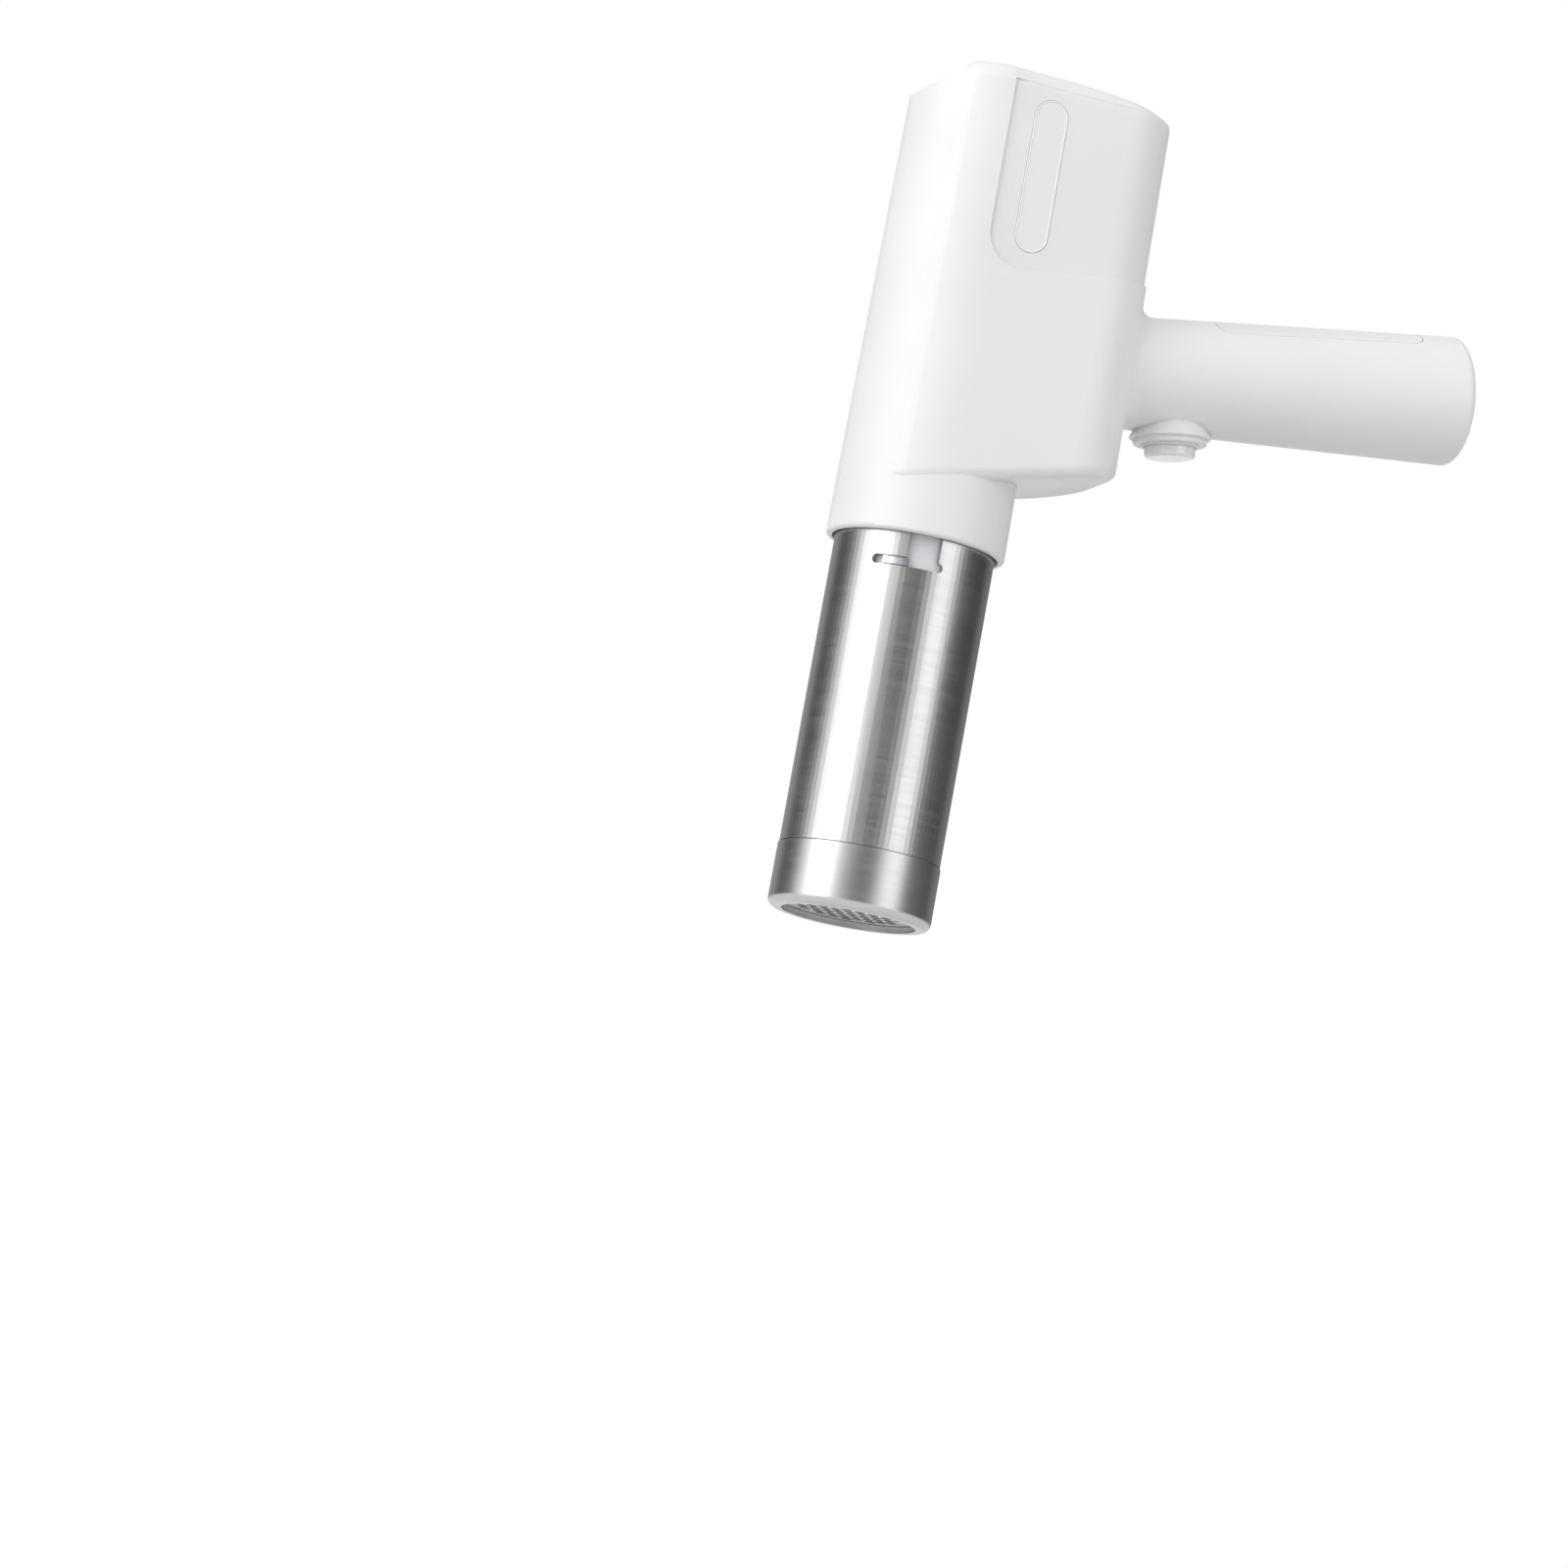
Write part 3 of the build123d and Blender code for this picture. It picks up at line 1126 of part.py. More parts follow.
# ----------------------------------------------------------------- trigger
def trigger_bezel():
    """Stepped ring that lines the boss and guides the button."""
    bezel = rod(BEZEL_R, 0, BEZEL_THICK)
    bezel = fillet(bezel.edges().group_by(Axis.Z)[-1], BEZEL_EDGE_R)
    high = BEZEL_THICK + BEZEL_STEP
    bezel += rod(BEZEL_R - BEZEL_STEP_INSET, BEZEL_THICK, high) + rod(SLEEVE_R, -BEZEL_SLEEVE, 0)
    return TRIGGER_PLANE * (bezel - rod(BUTTON_BORE_R, -BEZEL_SLEEVE - CUT, high + CUT))


def trigger_button():
    """Round push button with a hidden flange and a stem to the switch."""
    high = BEZEL_THICK + BUTTON_PROUD
    button = rod(BUTTON_R, -FLANGE_DEPTH, high)
    button = fillet(button.edges().group_by(Axis.Z)[-1], BUTTON_EDGE_R)
    button += rod(SLEEVE_R - FREE_GAP, -FLANGE_DEPTH - BUTTON_FLANGE, -FLANGE_DEPTH)
    return TRIGGER_PLANE * (button + rod(STEM_R, -STEM_DEPTH, -FLANGE_DEPTH))


def trigger_spring():
    """Coil spring between the button and the switch bracket."""
    low = -BRACKET_DEPTH + SPRING_WIRE_R + SEAT_GAP
    height = -FLANGE_DEPTH - BUTTON_FLANGE - SPRING_WIRE_R - SEAT_GAP - low
    path = Helix(pitch=height / SPRING_TURNS, height=height, radius=SPRING_R)
    coil = sweep(Plane(origin=path @ 0, z_dir=path % 0) * Circle(SPRING_WIRE_R), path=path, is_frenet=True)
    return TRIGGER_PLANE * Pos(0, 0, low) * coil


def switch_bracket():
    """Bridge across the grip that seats the spring and holds the switch."""
    lift = BOSS_DROP - BRACKET_DEPTH
    reach = math.sqrt((GRIP_ROOT_R - WALL) ** 2 - lift**2) - FREE_GAP
    length = SWITCH_LENGTH + 2 * BRACKET_THICK
    plate = Pos(0, 0, -BRACKET_DEPTH - BRACKET_THICK) * Box(length, 2 * reach, BRACKET_THICK, align=BASE)
    plate -= rod(STEM_R + FREE_GAP, -BRACKET_DEPTH - 2 * BRACKET_THICK, -BRACKET_DEPTH + CUT)
    leg_low = -SWITCH_DEPTH - SWITCH_HEIGHT
    leg_height = -BRACKET_DEPTH - leg_low
    for side in (-1, 1):
        x = side * (SWITCH_LENGTH + BRACKET_THICK) / 2
        plate += Pos(x, 0, leg_low) * Box(BRACKET_THICK, SWITCH_WIDTH, leg_height, align=BASE)
    return TRIGGER_PLANE * plate


def microswitch():
    """Small snap switch under the button's stem."""
    low = -SWITCH_DEPTH - SWITCH_HEIGHT
    body = Pos(0, 0, low) * Box(SWITCH_LENGTH, SWITCH_WIDTH, SWITCH_HEIGHT, align=BASE)
    body += rod(PLUNGER_R, -SWITCH_DEPTH, -SWITCH_DEPTH + PLUNGER_HEIGHT)
    pin = Box(SWITCH_PIN_THICK, SWITCH_PIN_WIDTH, SWITCH_PIN_LENGTH, align=BASE)
    for x in (-SWITCH_PIN_SPREAD, 0, SWITCH_PIN_SPREAD):
        body += Pos(x, 0, low - SWITCH_PIN_LENGTH) * pin
    return TRIGGER_PLANE * body


# ------------------------------------------------------------------- output
def write(name, shape):
    """Writes one sub-part as a STEP file of separate solids."""
    pieces = shape if isinstance(shape, list) else [shape]
    solids = [solid for piece in pieces for solid in piece.solids()]
    whole = solids[0] if len(solids) == 1 else Compound(children=solids)
    export_step(whole, f"parts/{name}.step")


def main():
    """Builds and writes every sub-part."""
    os.makedirs("parts", exist_ok=True)
    shell = housing_shell()
    lower_race, upper_race = thrust_races()
    write("housing_left", housing_half(shell, -1))
    write("housing_right", housing_half(shell, 1))
    write("top_cover", top_cover())
    write("rear_cover", rear_cover())
    write("side_inlay_left", side_inlay(-1))
    write("side_inlay_right", side_inlay(1))
    write("battery_cover", battery_cover())
    write("housing_screws", housing_screws())
    write("barrel_tube", barrel_tube())
    write("cap_ring", cap_ring())
    write("die_plate", die_plate())
    write("bayonet_spigot", bayonet_spigot())
    write("bayonet_lugs", lugs(0))
    write("barrel_seal", barrel_seal())
    write("push_plate", push_plate())
    write("piston_ring", piston_ring())
    write("piston_bolt", piston_bolt())
    write("lead_screw", lead_screw())
    write("drive_gear", drive_gear())
    write("drive_nut", drive_nut())
    write("drive_pinion", drive_pinion())
    write("output_shaft", output_shaft())
    write("guide_plate", guide_plate())
    write("guide_bush", guide_bush())
    write("thrust_race_lower", lower_race)
    write("thrust_race_upper", upper_race)
    write("thrust_balls", thrust_balls())
    write("ball_cage", ball_cage())
    write("drive_plate", drive_plate())
    write("gearbox_case", gearbox_case())
    write("gearbox_screws", gearbox_screws())
    write("motor_can", motor_can())
    write("motor_cap", motor_cap())
    write("motor_terminals", motor_terminals())
    write("control_board", control_board())
    write("board_chips", board_chips())
    write("motor_wires", motor_wires())
    write("battery_wires", battery_wires())
    write("battery_cells", cells())
    write("battery_holder", battery_holder())
    write("battery_contacts", battery_contacts())
    write("charge_port", charge_port())
    write("port_plug", port_plug())
    write("trigger_bezel", trigger_bezel())
    write("trigger_button", trigger_button())
    write("trigger_spring", trigger_spring())
    write("switch_bracket", switch_bracket())
    write("microswitch", microswitch())


if __name__ == "__main__":
    main()
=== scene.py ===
import functools
import logging
import math
from dataclasses import dataclass, field
from enum import Enum

import bmesh
import bpy
from mathutils import Matrix, Vector


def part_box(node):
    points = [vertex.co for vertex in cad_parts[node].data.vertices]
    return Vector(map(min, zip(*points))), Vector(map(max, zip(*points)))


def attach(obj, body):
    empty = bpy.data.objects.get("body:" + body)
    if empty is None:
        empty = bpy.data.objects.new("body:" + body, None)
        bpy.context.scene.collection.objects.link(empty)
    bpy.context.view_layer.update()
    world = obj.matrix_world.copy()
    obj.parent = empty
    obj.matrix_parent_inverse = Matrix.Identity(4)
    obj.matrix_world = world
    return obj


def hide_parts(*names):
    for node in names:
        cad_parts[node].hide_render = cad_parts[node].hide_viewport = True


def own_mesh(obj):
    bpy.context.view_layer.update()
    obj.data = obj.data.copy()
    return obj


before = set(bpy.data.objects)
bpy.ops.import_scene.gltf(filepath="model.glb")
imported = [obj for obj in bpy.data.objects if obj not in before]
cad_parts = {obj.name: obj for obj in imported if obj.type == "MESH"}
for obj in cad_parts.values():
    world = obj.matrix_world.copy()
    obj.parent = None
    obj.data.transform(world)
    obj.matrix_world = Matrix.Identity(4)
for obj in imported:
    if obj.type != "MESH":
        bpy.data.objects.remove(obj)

log = logging.getLogger("pasta_maker")

MM = 0.001
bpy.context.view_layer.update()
MERGE = 0.002 * MM  # vertices nearer to each other than this become one
SHARP = math.radians(32)  # an edge that turns by more than this stays sharp

Colour = tuple[float, float, float]
Point = tuple[float, float, float]
Socket = bpy.types.NodeSocket
X_AXIS = Vector((1.0, 0.0, 0.0))
Z_AXIS = Vector((0.0, 0.0, 1.0))


# ------------------------------ wiring
class Wiring:
    """Adds and joins the nodes of one material, world or node group."""

    def __init__(self, tree: bpy.types.NodeTree) -> None:
        """Starts on an empty tree.

        Args:
            tree: the node tree to fill; what it holds is cleared.
        """
        tree.nodes.clear()
        self.tree = tree

    def add(self, kind: str, **settings: object) -> bpy.types.Node:
        """Adds a node.

        Args:
            kind: the node's type without its common start, such as "TexNoise".
            **settings: properties of the node.

        Returns:
            The new node.
        """
        node = self.tree.nodes.new("ShaderNode" + kind)
        for name, value in settings.items():
            setattr(node, name, value)
        return node

    def join(self, source: Socket, target: Socket) -> None:
        """Links one socket to another."""
        self.tree.links.new(source, target)

    def feed(self, value: object, target: Socket) -> None:
        """Gives an input what it works with.

        Args:
            value: a socket, number, vector or colour.
            target: the input.
        """
        if isinstance(value, Socket):
            self.join(value, target)
        elif isinstance(value, tuple) and len(value) < len(target.default_value):
            target.default_value = (*value, 1.0)
        else:
            target.default_value = value

    def math(self, operation: str, first: object, second: object) -> Socket:
        """Adds a maths node.

        Args:
            operation: what it works out, such as "MULTIPLY".
            first: a socket or a number.
            second: a socket or a number.

        Returns:
            The node's output socket.
        """
        node = self.add("Math", operation=operation)
        self.feed(first, node.inputs[0])
        self.feed(second, node.inputs[1])
        return node.outputs[0]

    def vector(self, operation: str, first: Socket, second: Socket | None = None) -> bpy.types.Node:
        """Adds a vector maths node.

        Args:
            operation: what it works out, such as "DOT_PRODUCT".
            first: a socket.
            second: a socket, where the operation has two.

        Returns:
            The new node.
        """
        node = self.add("VectorMath", operation=operation)
        self.join(first, node.inputs[0])
        if second is not None:
            self.join(second, node.inputs[1])
        return node

    def blend(self, share: object, first: object, second: object) -> Socket:
        """Mixes two colours.

        Args:
            share: a socket or a number, 0 for the first colour and 1 for the second.
            first: a socket or a colour.
            second: a socket or a colour.

        Returns:
            The mixed colour's socket.
        """
        node = self.add("Mix", data_type="RGBA")
        for at, value in ((0, share), (6, first), (7, second)):
            self.feed(value, node.inputs[at])
        return node.outputs[2]

    def span(self, value: Socket, start: tuple, end: tuple = (0.0, 1.0)) -> Socket:
        """Maps one range of a value onto another.

        Args:
            value: the socket that is mapped.
            start: the two ends of the range it comes in.
            end: what those two ends become; each is a number or a socket.

        Returns:
            The mapped value's socket.
        """
        node = self.add("MapRange")
        self.join(value, node.inputs["Value"])
        for name, number in zip(("From Min", "From Max", "To Min", "To Max"), (*start, *end)):
            self.feed(number, node.inputs[name])
        return node.outputs["Result"]

    def noise(self, vector: Socket, scale: object, detail: float) -> Socket:
        """Adds a noise texture.

        Args:
            vector: the coordinates it reads.
            scale: a socket or a number, in cells per metre.
            detail: how many finer layers it has.

        Returns:
            The noise value's socket.
        """
        node = self.add("TexNoise")
        self.feed(detail, node.inputs["Detail"])
        self.feed(vector, node.inputs["Vector"])
        self.feed(scale, node.inputs["Scale"])
        return node.outputs["Fac"]

    def use(self, group: bpy.types.NodeTree, **inputs: object) -> bpy.types.Node:
        """Places a node group.

        Args:
            group: the group that is placed.
            **inputs: a socket, number, vector or colour for each of its inputs.

        Returns:
            The group's node.
        """
        node = self.add("Group", node_tree=group)
        for name, value in inputs.items():
            self.feed(value, node.inputs[name])
        return node

    def relief(self, height: Socket, depth: float) -> Socket:
        """Turns a height into a normal.

        Args:
            height: the height's socket, from 0 to 1.
            depth: what 1 stands for, in metres.

        Returns:
            The normal's socket.
        """
        bump = self.add("Bump")
        bump.inputs["Strength"].default_value = 1.0
        bump.inputs["Distance"].default_value = depth
        self.join(height, bump.inputs["Height"])
        return bump.outputs[0]

    def mix(self, share: Socket, first: Socket, second: Socket) -> Socket:
        """Mixes two shaders.

        Args:
            share: 0 for the first shader and 1 for the second.
            first: a shader's socket.
            second: a shader's socket.

        Returns:
            The mixed shader's socket.
        """
        node = self.add("MixShader")
        for at, value in enumerate((share, first, second)):
            self.join(value, node.inputs[at])
        return node.outputs[0]

    def show(self, shader: Socket, kind: str = "OutputMaterial") -> None:
        """Puts a shader out as a material's surface or as the world's light."""
        self.join(shader, self.add(kind).inputs["Surface"])


def new_material(name: str) -> tuple[bpy.types.Material, Wiring]:
    """Makes an empty material.

    Args:
        name: the material's name.

    Returns:
        The material and its wiring.
    """
    made = bpy.data.materials.new(name)
    made.use_nodes = True
    return made, Wiring(made.node_tree)


def new_group(name: str, inputs: dict[str, str], outputs: dict[str, str]) -> tuple:
    """Makes an empty node group with named sockets.

    Args:
        name: the group's name.
        inputs: socket kinds by input name, such as {"Scale": "Float"}.
        outputs: socket kinds by output name.

    Returns:
        The group, its wiring, the inputs' sockets by name and the output node.
    """
    group = bpy.data.node_groups.new(name, "ShaderNodeTree")
    for names, side in ((inputs, "INPUT"), (outputs, "OUTPUT")):
        for label, kind in names.items():
            group.interface.new_socket(label, in_out=side, socket_type="NodeSocket" + kind)
    wires = Wiring(group)
    entry = wires.tree.nodes.new("NodeGroupInput")
    leave = wires.tree.nodes.new("NodeGroupOutput")
    return group, wires, {label: entry.outputs[label] for label in inputs}, leave


# ------------------------------ meshes
def to_mesh(name: str, shape: bmesh.types.BMesh) -> bpy.types.Mesh:
    """Turns a finished shape into a mesh.

    Args:
        name: the mesh's name.
        shape: the shape; it is freed here.

    Returns:
        The mesh.
    """
    mesh = bpy.data.meshes.new(name)
    shape.to_mesh(mesh)
    shape.free()
    return mesh


def new_object(name: str, data: bpy.types.ID) -> bpy.types.Object:
    """Puts a mesh, lamp or camera into the scene, at the origin and unturned.

    Args:
        name: the object's name.
        data: what it shows.

    Returns:
        The new object.
    """
    made = bpy.data.objects.new(name, data)
    bpy.context.scene.collection.objects.link(made)
    return made


# ------------------------------ effects
MIDDLE = (0.3, 0.7)  # most of a noise's values lie between these
DRIFT_SPAN = (0.35, 0.68)  # where a noise turns from one colour to the other
STREAK_SPAN = (0.32, 0.68)  # where it turns from one streak to the next
STREAK_SCALE = 0.22  # how many streaks there are beside a metal's lines
STREAK_HEIGHT = 0.15  # how high they are beside the lines
SWELLS = 38.0  # slow waves of a moulded wall, per metre
FLAT_TO_EDGE = (0.995, 0.86)  # how well a rounded normal agrees with the true one
RUB_PATCHES = 420.0  # patches of rubbing and of the painted edge highlight along an edge, per metre
RUB_SPAN = (0.3, 0.62)  # where a noise turns from spared to rubbed
RUB_SHARES = (0.35, 1.0)  # how far spared and rubbed places are rubbed
OPEN_TO_CLOSED = (0.82, 0.25)  # how much of its surroundings a face and a seam see; the painted seam shade runs between them
DUST_DOT = (0.16, 0.05)  # from a speck's rim to its middle, in cells
DUST_PATCHES = 26.0  # dusty places, per metre
DUST_SPAN = (0.5, 0.7)  # where a noise turns from clean to dusty


@functools.cache
def tone_drift() -> bpy.types.NodeTree:
    """Slow drift of a colour over the surface.

    Returns:
        The node group, with a colour as its output.
    """
    group, wires, given, leave = new_group(
        "tone_drift",
        {"Vector": "Vector", "Colour": "Color", "Other": "Color", "Scale": "Float"},
        {"Colour": "Color"},
    )
    share = wires.span(wires.noise(given["Vector"], given["Scale"], 3.0), DRIFT_SPAN)
    wires.join(wires.blend(share, given["Colour"], given["Other"]), leave.inputs["Colour"])
    return group


@functools.cache
def moulded_grain() -> bpy.types.NodeTree:
    """Fine spark-eroded grain of a moulded part, over a faint waviness of its walls.

    Returns:
        The node group, with the height of the grain as its output.
    """
    group, wires, given, leave = new_group(
        "moulded_grain",
        {"Vector": "Vector", "Scale": "Float", "Waviness": "Float"},
        {"Height": "Float"},
    )
    fine = wires.noise(given["Vector"], given["Scale"], 3.0)
    swell = wires.math("MULTIPLY", wires.noise(given["Vector"], SWELLS, 1.0), given["Waviness"])
    wires.join(wires.math("ADD", fine, swell), leave.inputs["Height"])
    return group


@functools.cache
def brush_lines() -> bpy.types.NodeTree:
    """Fine lines of brushed, turned or drawn metal.

    Returns:
        The node group, with a height and a mask of broader streaks as its outputs.
    """
    group, wires, given, leave = new_group(
        "brush_lines",
        {"Vector": "Vector", "Stretch": "Vector", "Scale": "Float"},
        {"Height": "Float", "Streaks": "Float"},
    )
    place = wires.vector("MULTIPLY", given["Vector"], given["Stretch"]).outputs[0]
    fine = wires.noise(place, given["Scale"], 4.0)
    coarse = wires.noise(place, wires.math("MULTIPLY", given["Scale"], STREAK_SCALE), 2.0)
    low = wires.math("MULTIPLY", coarse, STREAK_HEIGHT)
    wires.join(wires.math("ADD", fine, low), leave.inputs["Height"])
    wires.join(wires.span(coarse, STREAK_SPAN), leave.inputs["Streaks"])
    return group


@functools.cache
def worn_and_highlit_edges() -> bpy.types.NodeTree:
    """Mask of the edges that hands and cloths rub, also used to paint a highlight along them.

    Returns:
        The node group, with a mask as its output.
    """
    group, wires, given, leave = new_group(
        "worn_and_highlit_edges",
        {"Vector": "Vector", "Width": "Float", "Amount": "Float"},
        {"Mask": "Float"},
    )
    rounded = wires.add("Bevel", samples=4)
    wires.join(given["Width"], rounded.inputs["Radius"])
    true = wires.add("NewGeometry").outputs["Normal"]
    facing = wires.vector("DOT_PRODUCT", rounded.outputs["Normal"], true)
    edge = wires.span(facing.outputs["Value"], FLAT_TO_EDGE)
    patches = wires.noise(given["Vector"], RUB_PATCHES, 2.0)
    rubbed = wires.math("MULTIPLY", edge, wires.span(patches, RUB_SPAN, RUB_SHARES))
    wires.join(wires.math("MULTIPLY", rubbed, given["Amount"]), leave.inputs["Mask"])
    return group


@functools.cache
def painted_seam_shade() -> bpy.types.NodeTree:
    """Paints shade into a colour in narrow seams and corners, where the surroundings close in.

    Returns:
        The node group, with a colour as its output.
    """
    group, wires, given, leave = new_group(
        "painted_seam_shade",
        {"Colour": "Color", "Shade": "Color", "Reach": "Float", "Amount": "Float"},
        {"Colour": "Color"},
    )
    # Painted shade: ambient occlusion darkens the colour in seams and corners.
    closed = wires.add("AmbientOcclusion", samples=6, only_local=False)
    wires.join(given["Reach"], closed.inputs["Distance"])
    depth = wires.span(closed.outputs["AO"], OPEN_TO_CLOSED, (0.0, given["Amount"]))
    wires.join(wires.blend(depth, given["Colour"], given["Shade"]), leave.inputs["Colour"])
    return group


@functools.cache
def dust_specks() -> bpy.types.NodeTree:
    """Sparse mask of fine dust, flour and handling marks.

    Returns:
        The node group, with a mask as its output.
    """
    group, wires, given, leave = new_group(
        "dust_specks",
        {"Vector": "Vector", "Scale": "Float", "Amount": "Float"},
        {"Mask": "Float"},
    )
    cells = wires.add("TexVoronoi", feature="F1")
    wires.join(given["Vector"], cells.inputs["Vector"])
    wires.join(given["Scale"], cells.inputs["Scale"])
    dots = wires.span(cells.outputs["Distance"], DUST_DOT)
    here = wires.span(wires.noise(given["Vector"], DUST_PATCHES, 3.0), DUST_SPAN)
    marks = wires.math("MULTIPLY", dots, here)
    wires.join(wires.math("MULTIPLY", marks, given["Amount"]), leave.inputs["Mask"])
    return group


# ------------------------------ finishes
def scaled(colour: Colour, share: float, lift: float = 0.0) -> Colour:
    """Makes a colour darker or lighter.

    Args:
        colour: the colour.
        share: what each of its parts is multiplied by.
        lift: what is added to each part.

    Returns:
        The new colour, no part of it above 1.
    """
    return tuple(min(1.0, part * share + lift) for part in colour)


class Brush(Enum):
    """Which way the lines of a metal run, as the stretch of its coordinates."""

    ROUND = (0.02, 0.02, 1.0)
    UPRIGHT = (1.0, 1.0, 0.02)
    CAST = (0.8, 0.9, 1.0)


@dataclass(frozen=True)
class Finish:
    """What plastics and metals share: a drifting colour, painted shade in seams and rubbed edges
    that also carry a painted highlight.

    Attributes:
        name: the material's name.
        colour: main colour; every tone below is a share of its brightness.
        other: colour of its patches or streaks.
        drift: patches of colour per metre.
        seam: how dark the painted shade in seams gets, 0 to 1.
        seam_reach: width of the widest seam that gets painted shade, in metres.
        seam_tone: tone of the painted shade in a closed seam.
        edge_wear_and_highlight: how far edges are rubbed and painted lighter as a highlight, 0 to
            1.
        edge_width: width of a rubbed edge, in metres.
        edge_tone: tone of a rubbed edge, painted lighter as a highlight.
        edge_lift: what is added to each part of that tone.
    """

    name: str
    colour: Colour
    other: Colour
    drift: float = 24.0
    seam: float = 0.3
    seam_reach: float = 2.2 * MM
    seam_tone: float = 0.42
    edge_wear_and_highlight: float = 0.6
    edge_width: float = 0.5 * MM
    edge_tone: float = 1.06
    edge_lift: float = 0.01

    @functools.cached_property
    def material(self) -> bpy.types.Material:
        """The finished material, made once."""
        made, wires = new_material(self.name)
        place = wires.add("TexCoord").outputs["Object"]
        shader = wires.add("BsdfPrincipled")
        for name, value in self.surface(wires, place).items():
            wires.feed(value, shader.inputs[name])
        wires.show(shader.outputs[0])
        return made

    def surface(self, wires: Wiring, place: Socket) -> dict[str, object]:
        """Works out what the finish gives its shader; each kind of finish has its own.

        Args:
            wires: the material's wiring.
            place: the coordinates it reads.

        Returns:
            A socket or a number for each of the shader's inputs, by the input's name.
        """
        raise NotImplementedError

    def aged_with_painted_light(
        self, wires: Wiring, place: Socket, first: object, second: Colour
    ) -> tuple[Socket, Socket]:
        """Lets a colour drift, paints shade into its seams and lightens its edges, as rubbing and
        as a painted highlight.

        Args:
            wires: the material's wiring.
            place: the coordinates it reads.
            first: the colour, or its socket.
            second: the colour it drifts to.

        Returns:
            The sockets of the new colour and of the mask of the edges.
        """
        drift = wires.use(tone_drift(), Vector=place, Colour=first, Other=second, Scale=self.drift)
        # Painted shade in seams and corners.
        seams = wires.use(
            painted_seam_shade(),
            Colour=drift.outputs[0],
            Shade=scaled(self.colour, self.seam_tone),
            Reach=self.seam_reach,
            Amount=self.seam,
        )
        rubbed = wires.use(worn_and_highlit_edges(), Vector=place, Width=self.edge_width, Amount=self.edge_wear_and_highlight)
        edges = rubbed.outputs[0]
        # Rubbed edges painted lighter: partly rubbing, partly a painted highlight.
        bright = scaled(self.colour, self.edge_tone, self.edge_lift)
        return wires.blend(edges, seams.outputs[0], bright), edges


@dataclass(frozen=True)
class Plastic(Finish):
    """Moulded or rubbery finish.

    Attributes:
        rough: lowest and highest roughness.
        patches: patches of roughness per metre.
        polish: how much less rough a rubbed edge is.
        grain: grain cells per metre.
        depth: height of the grain, in metres.
        waviness: share of the slow waves in the height.
        dust: how far specks show, 0 to 1.
        dust_scale: cells of the specks per metre.
        dust_tone: tone of a speck.
        coat: weight of a clear gloss.
        coat_rough: roughness of the gloss.
        soft: weight of light that enters the plastic.
        soft_reach: how far that light goes, in metres.
    """

    rough: tuple[float, float] = (0.36, 0.5)
    patches: float = 55.0
    polish: float = 0.1
    grain: float = 5200.0
    depth: float = 12e-6
    waviness: float = 1.0
    dust: float = 0.16
    dust_scale: float = 1500.0
    dust_tone: float = 0.8
    coat: float = 0.0
    coat_rough: float = 0.08
    soft: float = 0.0
    soft_reach: float = 2 * MM

    def surface(self, wires: Wiring, place: Socket) -> dict[str, object]:
        """Works out the look of the plastic; see Finish.surface."""
        worn_with_painted_light, edges = self.aged_with_painted_light(wires, place, self.colour, self.other)
        specks = wires.use(dust_specks(), Vector=place, Scale=self.dust_scale, Amount=self.dust)
        rough = wires.span(wires.noise(place, self.patches, 4.0), MIDDLE, self.rough)
        polish = wires.math("MULTIPLY", edges, self.polish)
        grain = wires.use(moulded_grain(), Vector=place, Scale=self.grain, Waviness=self.waviness)
        dust = scaled(self.colour, self.dust_tone)
        return {
            "Base Color": wires.blend(specks.outputs[0], worn_with_painted_light, dust),
            "Roughness": wires.math("SUBTRACT", rough, polish),
            "Normal": wires.relief(grain.outputs["Height"], self.depth),
            "Coat Weight": self.coat,
            "Coat Roughness": self.coat_rough,
            "Subsurface Weight": self.soft,
            "Subsurface Scale": self.soft_reach,
        }


@dataclass(frozen=True)
class Metal(Finish):
    """Bare or plated metal finish.

    Attributes:
        rough: lowest and highest roughness of its streaks.
        brush: which way its lines run.
        lines: lines per metre.
        depth: height of the lines, in metres.
        dull_tone: tone of its duller patches.
        smears: wiped smears per metre.
        smear: how much rougher they are.
    """

    drift: float = 30.0
    seam: float = 0.6
    seam_reach: float = 1.2 * MM
    seam_tone: float = 0.35
    edge_wear_and_highlight: float = 0.7
    edge_width: float = 0.4 * MM
    edge_tone: float = 1.2
    edge_lift: float = 0.0
    rough: tuple[float, float] = (0.22, 0.34)
    brush: Brush = Brush.ROUND
    lines: float = 5200.0
    depth: float = 6e-6
    dull_tone: float = 0.93
    smears: float = 34.0
    smear: float = 0.05

    def surface(self, wires: Wiring, place: Socket) -> dict[str, object]:
        """Works out the look of the metal; see Finish.surface."""
        lines = wires.use(brush_lines(), Vector=place, Scale=self.lines, Stretch=self.brush.value)
        streaks = wires.blend(lines.outputs["Streaks"], self.colour, self.other)
        worn_with_painted_light, _ = self.aged_with_painted_light(wires, place, streaks, scaled(self.colour, self.dull_tone))
        rough = wires.span(lines.outputs["Streaks"], (0.0, 1.0), self.rough)
        smears = wires.math("MULTIPLY", wires.noise(place, self.smears, 4.0), self.smear)
        return {
            "Base Color": worn_with_painted_light,
            "Roughness": wires.math("ADD", rough, smears),
            "Normal": wires.relief(lines.outputs["Height"], self.depth),
            "Metallic": 1.0,
        }


